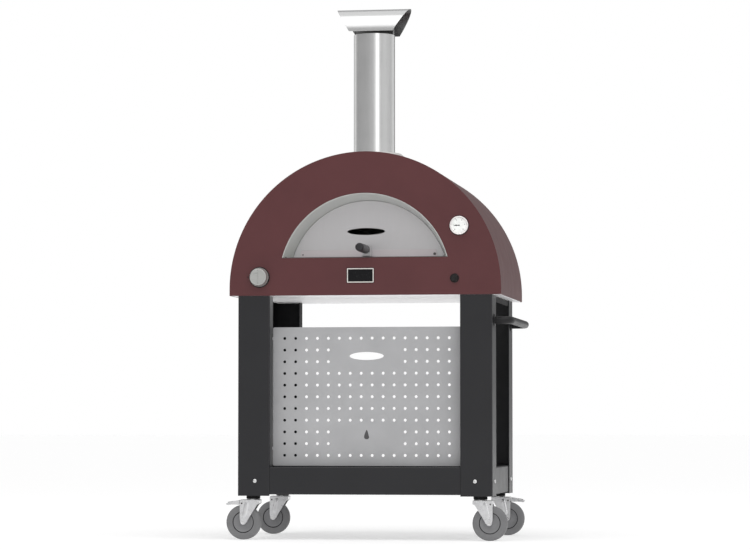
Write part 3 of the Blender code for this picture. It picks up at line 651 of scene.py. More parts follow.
def make_tray():
    """Folded tray between two end walls, with a hole for the gas inlet."""
    low, high = local_box("base_tray")
    half = SHEET / 2
    path = [(low.x + half, high.z), (low.x + half, low.z + half),
            (high.x - half, low.z + half), (high.x - half, high.z)]
    inlet_r, inlet_y = 0.0075, local_box("gas_valve")[0].y + 0.031
    hole = moved(rod(inlet_r, OVEN_Z - 0.01, OVEN_Z + 0.01), KNOB.x, inlet_y)
    tray = prism(folded(path, SHEET, 0.004), low.y + SHEET, high.y - SHEET)
    piece("tray_shell", tray, "pale", "pale_tray", replaces=["base_tray"], cuts=[hole],
          round_by=0.0004)
    for name, y in (("tray_front_wall", low.y), ("tray_rear_wall", high.y - SHEET)):
        wall = block((low.x + 0.003, y, low.z + 0.0002), (high.x - 0.003, y + SHEET, high.z))
        piece(name, wall, "pale", "pale_tray", round_by=0.0004)


def make_mouth():
    """Tapered arch sleeve from the front sheet back to the lip that stops the door."""
    front, back = MOUTH_LOW.y, MOUTH_HIGH.y
    door = DOOR_LOW.y
    outer, inner = MOUTH_R - MOUTH_TAPER, MOUTH_R - MOUTH_TAPER - SHEET
    stop = outer - STOP_REACH
    stations = [(front, MOUTH_R, MOUTH_LOW.z), (door, outer, MOUTH_LOW.z),
                (back, outer, MOUTH_LOW.z), (back, stop, SILL + STOP_H),
                (back - SHEET, stop, SILL + STOP_H), (back - SHEET, inner, SILL),
                (door, inner, SILL), (front, MOUTH_R - SHEET, SILL)]
    rings = [[(x, y, z) for x, z in arch(radius, floor)] for y, radius, floor in stations]
    sleeve = piece("mouth_sleeve", loft(rings, closed=True), "sleeve", "satin_steel",
                   replaces=["mouth_surround"], round_by=0.0004)
    # the sill's front edge takes the dark finish: painted shade along the edge
    edge_y, sill_z = ORIGIN.y + front + 0.0012, ORIGIN.z + SILL + 0.0006
    second_finish(sleeve, "dark_fixing_and_painted_shade", lambda at, way: at.y < edge_y and at.z < sill_z)
    half = math.sqrt((MOUTH_R - SHEET) ** 2 - (SILL - MOUTH_Z) ** 2)
    spots = [(side * (half - 0.010), 0.006, SILL) for side in (-1, 1)]
    fixings("sill_screws", spots, "up", 0.0042, 0.0022, "dark_fixing_and_painted_shade", "satin_steel")


def make_badge():
    """Blank black plate in a light raised border."""
    low, high = local_box("badge_plate")
    border, margin, rise = 0.0032, 0.0016, 0.0006

    def inset(step, radius):
        return rounded_box((low.x + step, low.z + step), (high.x - step, high.z - step), radius)

    piece("badge_plate_back", prism(inset(0, 0.003), low.y + rise, high.y), "badge", "badge_black",
          replaces=["badge_plate"], round_by=0.0003)
    rim = prism(inset(margin, 0.0022), low.y, low.y + 0.0010,
                holes=[inset(margin + border, 0.0010)])
    piece("badge_border", rim, "light_trim", "badge_black", round_by=0.0002)


# ---------------------------------------------------------------- gas, igniter and dial
VALVE_TRAVEL = 0.003             # how far the knob goes in


def make_knob():
    """Turned knob with a skirt, a soft edged face and a pointer groove across it."""
    low, high = local_box("control_knob")
    radius, front, back = (high.x - low.x) / 2, low.y, high.y
    face, bore, soft = radius * 0.93, 0.0044, 0.0040
    profile = [(bore, -0.0140), (bore, back), (radius - 0.001, back), (radius, back - 0.001),
               (radius, back - 0.0035), (radius - 0.0012, back - 0.0052),
               (face + 0.0006, back - 0.0062), (face, back - 0.0090), (face - 0.0012, front + 0.005)]
    profile += arc((face - 0.0012 - soft, front + soft), soft, -15, -90, 5)
    reach, half = face * 0.80, 0.0009
    groove = block((-half, front - 0.001, -reach), (half, front + 0.0012, reach))
    side_step = block((0, front - 0.001, -face), (face, front + 0.0003, face))
    piece("knob_body", lathe(profile), "knob", "knob_grey", "control_knob", at=KNOB,
          replaces=["control_knob"], cuts=[groove, side_step], round_by=0.0003)
    # black ring round the knob; its dark rim is also painted shadow round the knob's edge
    bezel = tube(radius + 0.0030, radius - 0.0015, -GAP, back + VALVE_TRAVEL + 2 * GAP)
    piece("knob_bezel_painted_shadow", bezel, "black", "black_plastic", at=KNOB, round_by=0.0005)
    tick = block((-0.0055, -0.0008, -0.0011), (0, -GAP, 0.0011))
    piece("knob_tick", tick, "ink", "black_plastic", at=KNOB + Vector((-0.0390, 0, 0.001)),
          round_by=0.0002)


def make_igniter():
    """Push button with a dished face, in a raised ring."""
    low, high = local_box("igniter_button")
    radius, front = (high.x - low.x) / 2, low.y
    stem, back, soft = 0.0045, -0.0050, 0.0022
    profile = [(stem, high.y), (stem, back), (radius, back), (radius, front + soft)]
    profile += arc((radius - soft, front + soft), soft, -18, -90, 4)
    profile += [(radius * 0.60, front), (radius * 0.52, front + 0.0006),
                (radius * 0.1, front + 0.0009)]
    piece("igniter_cap", lathe(profile, sides=72), "black", "black_plastic", "igniter_button",
          at=BUTTON, replaces=["igniter_button"], round_by=0.0002)
    inner, outer = radius + 0.0006, radius + 0.0034
    ring = lathe([(inner, -0.0030), (inner, -GAP), (outer, -GAP), (outer, -0.0016),
                  (outer - 0.0012, -0.0030)], closed=True, sides=72)
    piece("igniter_bezel", ring, "black", "black_plastic", at=BUTTON, round_by=0.0003)


SCALE_START, SCALE_STEP = -45.0, 54.0        # degrees turned from the needle's rest, per number
SCALE_NUMBERS = 6
MINOR_TICKS = 4
DIAL_FACE_Y = -0.0046


def dial_point(turned, radius):
    """Point on the dial where the needle's tip would be after turning this many degrees."""
    angle = math.radians(180 - turned)
    return radius * math.cos(angle), radius * math.sin(angle)


def make_dial():
    """Steel case, dark gasket as painted shadow round it, enamelled face, spade needle and glass of
    the thermometer.
    """
    low, high = local_box("thermometer_case")
    radius, front = (high.x - low.x) / 2, low.y
    rim, stem, edge = radius - 0.0030, 0.0040, radius - 0.0012
    case = [(rim, DIAL_FACE_Y), (rim - 0.0002, front + 0.0012), (rim + 0.0008, front),
            (edge, front + 0.0002), (radius, front + 0.0016), (radius, -0.0012),
            (edge, -GAP), (stem, -GAP), (stem, high.y)]
    # the case's pinkish steel is painted reflection of the burgundy front
    piece("dial_case_ring", lathe(case), "bezel", "dial_case", at=DIAL,
          replaces=["thermometer_case"], round_by=0.0002)
    # dark ring round the case: painted shadow round the dial
    inner, outer = radius - 0.0014, radius + 0.0022
    gasket = lathe([(inner, -0.0011), (outer - 0.0006, -0.0011), (outer, -0.0007), (outer, -GAP),
                    (inner, -GAP)], closed=True)
    piece("dial_gasket_painted_shadow", gasket, "spacer", "black_plastic", at=DIAL)
    face = rod(rim - GAP, DIAL_FACE_Y - 0.0006, DIAL_FACE_Y - 0.0001, "Y", sides=96)
    piece("dial_face", face, "dial", "dial_case", at=DIAL, round_by=0.0001)
    make_dial_marks(rim - 0.0022, DIAL_FACE_Y - 0.0006)
    low, high = local_box("thermometer_needle")
    tip, tail, hub = DIAL.x - low.x, high.x - DIAL.x, 0.0022
    under = [(-tip, -0.0003), (-0.0125, -0.0010), (-0.0105, -0.0018), (-0.0080, -0.0016),
             (-0.0045, -0.0009)]
    outline = under + arc((0, 0), hub, 205, 335, 12) + [(tail, -0.0007), (tail, 0.0007)]
    outline += arc((0, 0), hub, 25, 155, 12) + [(x, -z) for x, z in reversed(under)]
    piece("dial_needle", prism(outline, low.y, high.y), "ink", "needle_black",
          "thermometer_needle", at=DIAL, replaces=["thermometer_needle"], round_by=0.00012)
    low, high = local_box("thermometer_lens")
    glass = lathe([(rim - 0.0005, high.y), (rim - 0.0005, low.y + 0.0004),
                   (rim * 0.6, low.y + 0.00015), (rim * 0.2, low.y)])
    lens = piece("dial_lens", glass, "lens", "lens_glass", at=DIAL, replaces=["thermometer_lens"])
    lens.visible_shadow = False


def make_dial_marks(outer, face_y):
    """Raised ink ticks and generic numbers round the dial."""
    ticks = []
    for step in range((SCALE_NUMBERS - 1) * MINOR_TICKS + 1):
        turned = SCALE_START + SCALE_STEP * step / MINOR_TICKS
        length, half = (0.0018, 0.00022) if step % MINOR_TICKS else (0.0032, 0.00042)
        far, near = Vector(dial_point(turned, outer)), Vector(dial_point(turned, outer - length))
        side = Vector((near.y - far.y, far.x - near.x)).normalized() * half
        ticks.append(prism([near - side, far - side, far + side, near + side],
                           face_y, face_y - 0.00015))
    piece("dial_ticks", merged(ticks), "ink", "needle_black", at=DIAL)
    for index in range(SCALE_NUMBERS):
        u, v = dial_point(SCALE_START + SCALE_STEP * index, outer - 0.0066)
        text = bpy.data.curves.new("number", "FONT")
        text.body = str(index)
        text.size = 0.0062
        text.align_x, text.align_y = "CENTER", "CENTER"
        text.extrude = 0.00006
        helper = bpy.data.objects.new("number", text)
        bpy.context.collection.objects.link(helper)
        bpy.context.view_layer.update()
        graph = bpy.context.evaluated_depsgraph_get()
        mesh = bpy.data.meshes.new_from_object(helper.evaluated_get(graph))
        bpy.data.objects.remove(helper, do_unlink=True)
        mesh.transform(Matrix.Translation((u, face_y - 0.00008, v)) @ FACING["front"])
        piece("dial_number_%d" % index, mesh, "ink", "needle_black", at=DIAL)


# ---------------------------------------------------------------- chimney
def make_flue():
    """Open pipe, sooted inside, with a welded seam down its back."""
    inner, low, top, soft = FLUE_R - FLUE_T, FLUE_LOW.z, FLUE_HIGH.z, 0.0005
    profile = [(FLUE_R, low), (FLUE_R, top - 0.0006), (FLUE_R - soft, top), (inner + soft, top),
               (inner, top - 0.0006), (inner, low)]
    pipe = piece("flue_tube", lathe(profile, "Z", True, 128), "stainless", "bright_stainless",
                 at=FLUE, replaces=["flue_pipe"])
    axis, middle_r = ORIGIN + FLUE, FLUE_R - FLUE_T / 2
    second_finish(pipe, "soot_and_painted_shade", lambda at, way: (at - axis).xy.length < middle_r)
    half, seam_low = 0.004, local_box("flue_collar")[1].z + 0.002
    seam = block((-half, FLUE_R - 0.0006, seam_low), (half, FLUE_R + 0.0005, top - 0.003))
    piece("flue_seam", seam, "stainless", "bright_stainless", at=FLUE, turn_z=math.radians(25),
          round_by=0.0003)


COLLAR_LOW, COLLAR_HIGH = local_box("flue_collar")
COLLAR_WIDE = (COLLAR_HIGH.x - COLLAR_LOW.x) / 2
COLLAR_SHOULDER, COLLAR_NARROW = 0.026, 0.092       # the cone's height, its radius at the top
COLLAR_EDGE = 0.0012


def make_collar():
    """Cone round the flue's foot, cut to sit on the dome."""
    low, top, bore = COLLAR_LOW.z, COLLAR_HIGH.z, FLUE_R + GAP
    shoulder = top - COLLAR_SHOULDER
    profile = [(bore, low), (COLLAR_WIDE, low), (COLLAR_WIDE, shoulder - 0.001),
               (COLLAR_WIDE - 0.0008, shoulder), (COLLAR_NARROW + COLLAR_EDGE, top - COLLAR_EDGE),
               (COLLAR_NARROW - 0.0010, top), (bore + 0.0006, top), (bore, top - 0.0006)]
    saddle = prism(vault(VAULT_R + GAP, 0.8), -0.2, 0.2)
    piece("collar_cone", lathe(profile, "Z", True, 128), "collar", "collar_steel", at=FLUE,
          replaces=["flue_collar"], cuts=[saddle], round_by=0.0004)


def make_collar_skirt():
    """Flared sheet that lies on the dome round the collar, and rises to its shoulder at the sides."""
    sides, sheet = 96, 0.0014
    rim = COLLAR_WIDE + 0.0192
    top = COLLAR_HIGH.z - COLLAR_EDGE
    slope = (COLLAR_SHOULDER - COLLAR_EDGE) / (COLLAR_WIDE - 0.0008 - COLLAR_NARROW - COLLAR_EDGE)
    shoulder = COLLAR_HIGH.z - COLLAR_SHOULDER - 0.0015

    def dome(radius, angle, lift):
        return VAULT_Z + math.sqrt((VAULT_R + lift) ** 2 - (FLUE.x + radius * math.cos(angle)) ** 2)

    def foot(angle):
        """How far out the collar's cone meets the dome."""
        near, far = COLLAR_NARROW, COLLAR_WIDE
        for _ in range(30):
            between = (near + far) / 2
            cone = top - (between - COLLAR_NARROW - COLLAR_EDGE) * slope
            if cone > dome(between, angle, sheet):
                near = between
            else:
                far = between
        return far + GAP

    rings = []
    # each ring: how far from the collar to the rim, how far above the dome, how much of the rise
    for share, lift, rise in ((0, GAP, 0), (0, sheet, 1), (0.13, sheet, 0.62), (0.31, sheet, 0.30),
                              (0.57, sheet, 0.08), (0.95, sheet, 0), (1, sheet * 0.6, 0),
                              (1, GAP, 0), (0.5, GAP, 0)):
        ring = []
        for k in range(sides):
            angle = 2 * math.pi * k / sides
            start = foot(angle)
            radius = start + (rim - start) * share
            z = dome(radius, angle, lift)
            z += max(0, shoulder - z) * rise
            ring.append((radius * math.cos(angle), radius * math.sin(angle), z))
        rings.append(ring)
    piece("collar_skirt", loft(rings, closed=True), "collar", "collar_steel", at=FLUE)


def make_cowl():
    """Half round hood across the flue, its ends leaning out towards the top."""
    low, high = local_box("chimney_cowl")
    radius, half_high, overhang = high.z - low.z, (high.x - low.x) / 2, 0.0525
    outline = arc((0, 0), radius, 0, 180, 64) + arc((0, 0), radius - FLUE_T, 180, 0, 64)
    mesh = prism(outline, -1, 1, "X")
    for vert in mesh.vertices:
        reach = half_high - overhang + overhang / radius * vert.co.z
        vert.co.x = math.copysign(reach, vert.co.x)
    at = Vector((FLUE.x, FLUE.y, low.z))
    hood = piece("cowl_hood", mesh, "cowl", "bright_stainless", at=at,
                 replaces=["chimney_cowl"], round_by=0.0003)
    # the hood's inner faces take the dark finish: painted shade under the hood
    axis, middle_r = ORIGIN + at, radius - FLUE_T * 0.6
    second_finish(hood, "soot_and_painted_shade", lambda at, way: (at - axis).yz.length < middle_r)
    low, high = local_box("cowl_strap")
    half_width, thick = (high.y - low.y) / 2, 0.002
    edge = thick / 2
    path = [(low.x + edge, low.z), (low.x + edge, high.z - edge), (high.x - edge, high.z - edge),
            (high.x - edge, low.z)]
    piece("cowl_bracket", prism(folded(path, thick, 0.006), -half_width, half_width),
          "cowl", "bright_stainless", at=(0, FLUE.y, 0), replaces=["cowl_strap"], round_by=0.0004)
    for name, side in (("left", -1), ("right", 1)):
        spot = (FLUE.x + side * (FLUE_R - 0.0002), FLUE.y, FLUE_HIGH.z - 0.030)
        fixings("flue_rivets_" + name, [spot], name, 0.0030, 0.0014, "bolt", "bright_stainless")


# ---------------------------------------------------------------- door
def make_door():
    """Shallow pressed door face with its liner behind it, both with the air slot."""
    low, high = DOOR_LOW, DOOR_HIGH
    slot = ellipse(SLOT_AT, SLOT_HALF)
    inside_z = low.z + SHEET
    room = prism(arch(DOOR_R - SHEET, inside_z), low.y + SHEET, high.y + 0.01)
    opening = prism(slot, low.y - 0.01, low.y + 0.01)
    piece("door_face", prism(arch(DOOR_R, low.z), low.y, high.y), "satin", "satin_steel", "door",
          replaces=["door_panel"], cuts=[room, opening], round_by=0.0004)
    low, high = local_box("door_liner")
    liner = prism(arch(DOOR_R - SHEET - GAP, inside_z + GAP), low.y, high.y, holes=[slot])
    piece("door_back", liner, "satin_liner", "satin_steel", "door", replaces=["door_liner"],
          round_by=0.0005)
    make_door_foot()
    make_door_handle()


def make_door_foot():
    """Strip along the door's sill, with a rivet at each end."""
    low, high = local_box("door_foot")
    corner = 0.008
    outline = [(high.x, low.z)] + arc((high.x - corner, high.z - corner), corner, 0, 90, 8)
    outline += arc((low.x + corner, high.z - corner), corner, 90, 180, 8) + [(low.x, low.z)]
    piece("door_foot_strip", prism(outline, low.y, high.y), "foot", "satin_steel", "door",
          replaces=["door_foot"], round_by=0.0006)
    for name, side, radius in (("left", -1, 0.0024), ("right", 1, 0.0048)):
        spot = (side * (high.x - 0.008), low.y, low.z + 0.013)
        fixings("door_foot_rivet_" + name, [spot], "front", radius, 0.0018, "dark_fixing_and_painted_shade",
                "satin_steel", "door")


def make_door_handle():
    """Folded bracket on the foot strip that carries a round grip."""
    low, high = local_box("door_bracket")
    plate, cheek_t = 0.003, 0.002
    front, back, floor = low.y + plate / 2, high.y - plate / 2, low.z + 0.0027
    path = [(back, low.z + 0.004), (back, floor), (front, floor), (front, high.z)]
    piece("handle_bracket", prism(folded(path, plate, 0.005), low.x, high.x, "X"), "satin",
          "satin_steel", "door", replaces=["door_bracket"], round_by=0.0007)
    front, back, floor = low.y + 0.004, high.y - 0.001, low.z + 0.0045
    cheek = [(front, floor), (back, floor), (back, low.z + 0.014), (low.y + 0.020, high.z - 0.004),
             (front, high.z - 0.001)]
    for name, x in (("left", low.x + 0.0004), ("right", high.x - 0.0004 - cheek_t)):
        piece("handle_cheek_" + name, prism(cheek, x, x + cheek_t, "X"), "satin", "satin_steel",
              "door", round_by=0.0004)
    low, high = local_box("door_grip")
    radius, length, height = (high.x - low.x) / 2, high.y - low.y, (low.z + high.z) / 2
    profile = [(0.0010, 0), (radius * 0.62, 0.0004), (radius * 0.84, 0.0020),
               (radius * 0.95, 0.0050), (radius * 0.985, 0.0100), (radius, 0.022),
               (radius, length - 0.012), (radius * 0.96, length - 0.006),
               (radius * 0.86, length - 0.0015), (radius * 0.70, length)]
    piece("handle_grip", lathe(profile, sides=64), "grip", "grip_plastic", "door",
          at=(0, low.y, height), replaces=["door_grip"])
    piece("handle_washer", tube(radius * 0.72, 0.004, 0, 0.0040, 48), "bolt", "satin_steel",
          "door", at=(0, high.y + 0.0002, height), round_by=0.0004)


# ---------------------------------------------------------------- inside
CAD_FINISHES = {                 # parts of the inside that keep the CAD's own shape
    "hearth_base": "bed", "chamber": "vault", "insulation_blanket": "blanket",
    "insulation_board": "board", "gas_valve": "brass", "valve_stem": "brass",
    "igniter_body": "black",
}


def make_hearth():
    """The two floor tiles, and the finishes of the parts that keep their CAD shape."""
    for side in ("left", "right"):
        node = "hearth_tile_" + side
        piece("tile_" + side, block(*local_box(node)), "tile", "hearth_tile", replaces=[node],
              round_by=0.0022, segments=3)
    for node, finish in CAD_FINISHES.items():
        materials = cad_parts[node].data.materials
        materials.clear()
        materials.append(FINISHES[finish])


def make_burner():
    """Burner tube with two rows of ports along the fire side, drawn as dark discs as painted shade.
    """
    low, high = local_box("burner_pipe")
    radius, bend_steps, ports_per_row = 0.007, 24, 22
    start = Vector((KNOB.x, low.y, KNOB.z))
    end = Vector((high.x - radius, high.y, high.z - radius))
    bend_low, bend_high = low.y + 0.006, MOUTH_HIGH.y - 0.0077
    path = [start]
    for i in range(bend_steps + 1):
        t = i / bend_steps
        ease = t * t * (3 - 2 * t)
        path.append((start.x + (end.x - start.x) * ease, bend_low + (bend_high - bend_low) * t,
                     start.z + (end.z - start.z) * ease))
    path.append(end)
    piece("burner_tube", swept(path, radius), "burner", "burner_steel", replaces=["burner_pipe"],
          round_by=0.0006)
    ports = []
    first, pitch = bend_high + 0.030, 0.016
    for row, angle in enumerate((20, 60)):
        for i in range(ports_per_row):
            port = rod(0.0012, 0, 0.0006, "X", sides=12)
            port.transform(Matrix.Translation((0, first + pitch * (i + row / 2), 0))
                           @ Matrix.Rotation(-math.radians(angle), 4, "Y")
                           @ Matrix.Translation((radius - 0.0002, 0, 0)))
            ports.append(port)
    # the ports are dark discs on the tube, not holes: their dark is painted shade of the holes
    piece("burner_ports", merged(ports), "groove", "burner_steel", at=(end.x, 0, end.z))


# ---------------------------------------------------------------- stand
FOLD = 0.0045                    # outside radius of the stand's folds
RAIL_LOW, RAIL_HIGH = local_box("lower_rail_front")
BOARD_LOW, BOARD_HIGH = local_box("perforated_panel")
TAB_REACH, TAB_HALF = 0.008, 0.005           # the tabs that hold the panel in the front legs
TAB_HEIGHTS = (0.312, 0.687)
BOARD_LIFT = 0.012
BOLT_Z = (RAIL_LOW.z + RAIL_HIGH.z) / 2 - 0.001
BOLT_IN = 0.0595                 # middle of a bolt to the outer corner of its leg
BOLT_R, BOLT_H = 0.0068, 0.0035
FOOT_PLATE = 0.092


def leg_corner(side, front):
    """Places that run a inward from the side face and b inward from the front or rear face."""
    return lambda a, b: (side * (STAND_X - a), b if front else STAND_DEPTH - b)


def leg_span(corner, low, high, z_low, z_high):
    xs, ys = zip(corner(*low), corner(*high))
    return block((min(xs), min(ys), z_low), (max(xs), max(ys), z_high))


def make_leg(place, side, front):
    """Folded leg with a turned-in lip, slots for the panel's tabs and a plate for its caster."""
    corner = leg_corner(side, front)
    half, t, over = LEG_T / 2, LEG_T, 0.001
    path = [(LEG_W - half, LEG_RETURN), (LEG_W - half, half), (half, half), (half, LEG_W)]
    outline = [corner(a, b) for a, b in folded(path, t, FOLD)]
    low, high = LEG_LOW.z, LEG_HIGH.z
    cuts = [leg_span(corner, (LEG_W - FOLD - over, t), (LEG_W + over, LEG_RETURN + over),
                     low - 0.01, RAIL_HIGH.z + 2 * GAP)]
    for tab_z in TAB_HEIGHTS if front else ():
        cuts.append(leg_span(corner, (LEG_W - t - over, BOARD_LOW.y - 2 * GAP),
                             (LEG_W + over, BOARD_HIGH.y + 2 * GAP),
                             tab_z - TAB_HALF - GAP, tab_z + TAB_HALF + BOARD_LIFT + over))
    leg = piece("leg_" + place + "_fold", prism(outline, low, high, "Z"), "charcoal",
                "charcoal_paint", replaces=["leg_" + place], cuts=cuts, round_by=0.0006)
    # the rear left leg's faces that look into the stand take the darker coat: painted shade
    if place == "rear_left":
        outward = Vector((side, 1, 0))
        second_finish(leg, "charcoal_painted_shade", lambda at, way: way.dot(outward) < -0.5)
    plate = leg_span(corner, (t + GAP, t + GAP), (FOOT_PLATE, FOOT_PLATE), low, low + 0.004)
    piece("foot_plate_" + place, plate, "charcoal", "charcoal_paint", round_by=0.0006)


def make_legs():
    for place in PLACES:
        make_leg(place, 1 if place.endswith("right") else -1, place.startswith("front"))
    inset, side_in = STAND_X - BOLT_IN, 0.065
    rows = [(name, [(side * inset, y, BOLT_Z) for side in (-1, 1)], facing)
            for name, y, facing in (("front", 0, "front"), ("rear", STAND_DEPTH, "back"))]
    rows += [(name, [(side * STAND_X, y, BOLT_Z) for y in (side_in, STAND_DEPTH - side_in)], name)
             for name, side in (("left", -1), ("right", 1))]
    for name, spots, facing in rows:
        fixings(name + "_bolts", spots, facing, BOLT_R, BOLT_H, "bolt", "caster_zinc")


def make_rails():
    """Four channels near the floor, and two angles under the oven."""
    half = LEG_T / 2
    for name in ("front", "rear", "left", "right"):
        node = "lower_rail_" + name
        low, high = local_box(node)
        across, along, axis = (low.y, high.y), (low.x, high.x), "X"
        if name in ("left", "right"):
            across, along, axis = along, across, "Y"
        web, lip = across if name in ("front", "left") else reversed(across)
        web += math.copysign(half, lip - web)
        path = [(lip, low.z + half), (web, low.z + half), (web, high.z - half),
                (lip, high.z - half)]
        piece(node + "_channel", prism(folded(path, LEG_T, FOLD), *along, axis), "charcoal",
              "charcoal_paint", replaces=[node], round_by=0.0006)
    for name in ("left", "right"):
        node = "top_rail_" + name
        low, high = local_box(node)
        web, lip = (low.x + half, high.x) if name == "left" else (high.x - half, low.x)
        path = [(web, low.z), (web, high.z - half), (lip, high.z - half)]
        # the angles under the oven take the darker coat: painted shade
        piece(node + "_angle", prism(folded(path, LEG_T, FOLD), low.y, high.y), "charcoal_painted_shade",
              "charcoal_paint", replaces=[node], round_by=0.0006)


HOLE_COLUMNS, HOLE_ROWS = 16, 11
HOLE_FIELD_X = 0.2845            # middle of the panel to its outermost holes
HOLE_PITCH_Z = 0.040
HOLE_MARGIN = 0.038
HOLE_R = 0.005
HAND_HOLE = (0.0, 0.6265)
HAND_HOLE_HALF = (0.059, 0.0135)
LEFT_OUT_COLUMNS = range(5, 11)
LEFT_OUT_ROWS = (1, 2, 8, 9)


def board_holes():
    pitch_x = 2 * HOLE_FIELD_X / (HOLE_COLUMNS - 1)
    top = BOARD_HIGH.z - HOLE_MARGIN
    return [circle((-HOLE_FIELD_X + pitch_x * column, top - HOLE_PITCH_Z * row), HOLE_R, 20)
            for row in range(HOLE_ROWS) for column in range(HOLE_COLUMNS)
            if not (column in LEFT_OUT_COLUMNS and row in LEFT_OUT_ROWS)]


def make_board():
    """Perforated panel with two tabs on each side."""
    x, r, low, high = BOARD_HIGH.x - TAB_REACH, 0.005, BOARD_LOW.z, BOARD_HIGH.z
    right = arc((x - r, low + r), r, 270, 360, CORNER_SIDES)
    for z in TAB_HEIGHTS:
        right += [(x, z - TAB_HALF), (x + TAB_REACH, z - TAB_HALF),
                  (x + TAB_REACH, z + TAB_HALF), (x, z + TAB_HALF)]
    right += arc((x - r, high - r), r, 0, 90, CORNER_SIDES)
    outline = right + [(-u, v) for u, v in reversed(right)]
    holes = [ellipse(HAND_HOLE, HAND_HOLE_HALF, 48)] + board_holes()
    piece("board_sheet", prism(outline, BOARD_LOW.y, BOARD_HIGH.y, holes=holes), "panel",
          "panel_grey", "perforated_panel", replaces=["perforated_panel"], round_by=0.0004,
          segments=1)
    make_board_mark()


def make_board_mark():
    """Plain flame drop inlaid in the panel, in place of the maker's picture."""
    height, radius, foot = 0.032, 0.0095, 0.001
    rise = height - radius
    outline = arc((0, 0), radius, 200, 340, 16)
    outline += [(radius * 0.72 * (1 - t) ** 0.7 + 0.0008, foot + rise * t)
                for t in (0.12, 0.25, 0.4, 0.55, 0.7, 0.85)]
    outline += [(0, rise)]
    outline += [(-radius * 0.95 * (1 - t) ** 0.8, foot + rise * t)
                for t in (0.8, 0.6, 0.45, 0.3, 0.15)]
    piece("board_mark", prism(outline, BOARD_LOW.y - 0.0003, BOARD_LOW.y + 0.0002), "inlay",
          "panel_grey", "perforated_panel", at=(0, 0, 0.352))


def make_push_handle():
    """Bent bar on the right side, on two round flanges."""
    low, high = local_box("push_handle")
    radius, z, bend = (high.z - low.z) / 2, (low.z + high.z) / 2, 0.036
    face, out = low.x, high.x - radius
    y_low, y_high = low.y + radius, high.y - radius
    path = [(face, y_low), (face + 0.004, y_low)]
    path += arc((out - bend, y_low + bend), bend, 270, 360, 16)
    path += [(x, y_low + y_high - y) for x, y in reversed(path)]
    piece("push_bar", swept([(x, y, z) for x, y in path], radius, 40), "charcoal_bar_painted_shade",
          "charcoal_paint", replaces=["push_handle"])
    inner, outer, thick = radius + GAP, radius + 0.008, 0.0040
    for name, y in (("front", y_low), ("rear", y_high)):
        flange = lathe([(inner, 0), (outer, 0), (outer, 0.0020), (outer - 0.004, thick),
                        (inner, thick)], "X", True, 64)
        piece("push_flange_" + name, flange, "charcoal_bar_painted_shade", "charcoal_paint", at=(face, y, z),
              round_by=0.0006)


# ---------------------------------------------------------------- casters
CROWN_Z = 0.1365                 # top of the pressed fork
FORK_RIB = 0.0016                # how far the pressed swage stands out from the fork's legs
SPACER_Z = 0.1400                # underside of the spacer between leg and caster
AXLE_BORE, STUD_BORE = 0.0053, 0.0064        # radii of the wheel's and the swivel's holes


def rib(top, foot, y, sign, half_width):
    """Half round pressed rib down the outside of a fork leg, between two (x, z) points."""
    start, end = Vector((top[0], 0, top[1])), Vector((foot[0], 0, foot[1]))
    across = (end - start).normalized().cross(Vector((0, 1, 0))).normalized()
    rings, steps, spokes = [], 10, 6
    for i in range(steps + 1):
        t = i / steps
        swell = math.sin(math.pi * (0.12 + 0.76 * t)) if 0 < i < steps else 0.0
        size = max(0.15, min(1.0, swell * 1.6))
        ring = []
        for k in range(spokes + 1):
            a = math.pi * k / spokes
            lift = FORK_RIB * size * math.sin(a) - (GAP if k in (0, spokes) else 0)
            point = start.lerp(end, t) + across * half_width * size * math.cos(a)
            ring.append((point.x, y + sign * lift, point.z))
        rings.append(ring)
    return loft(rings)


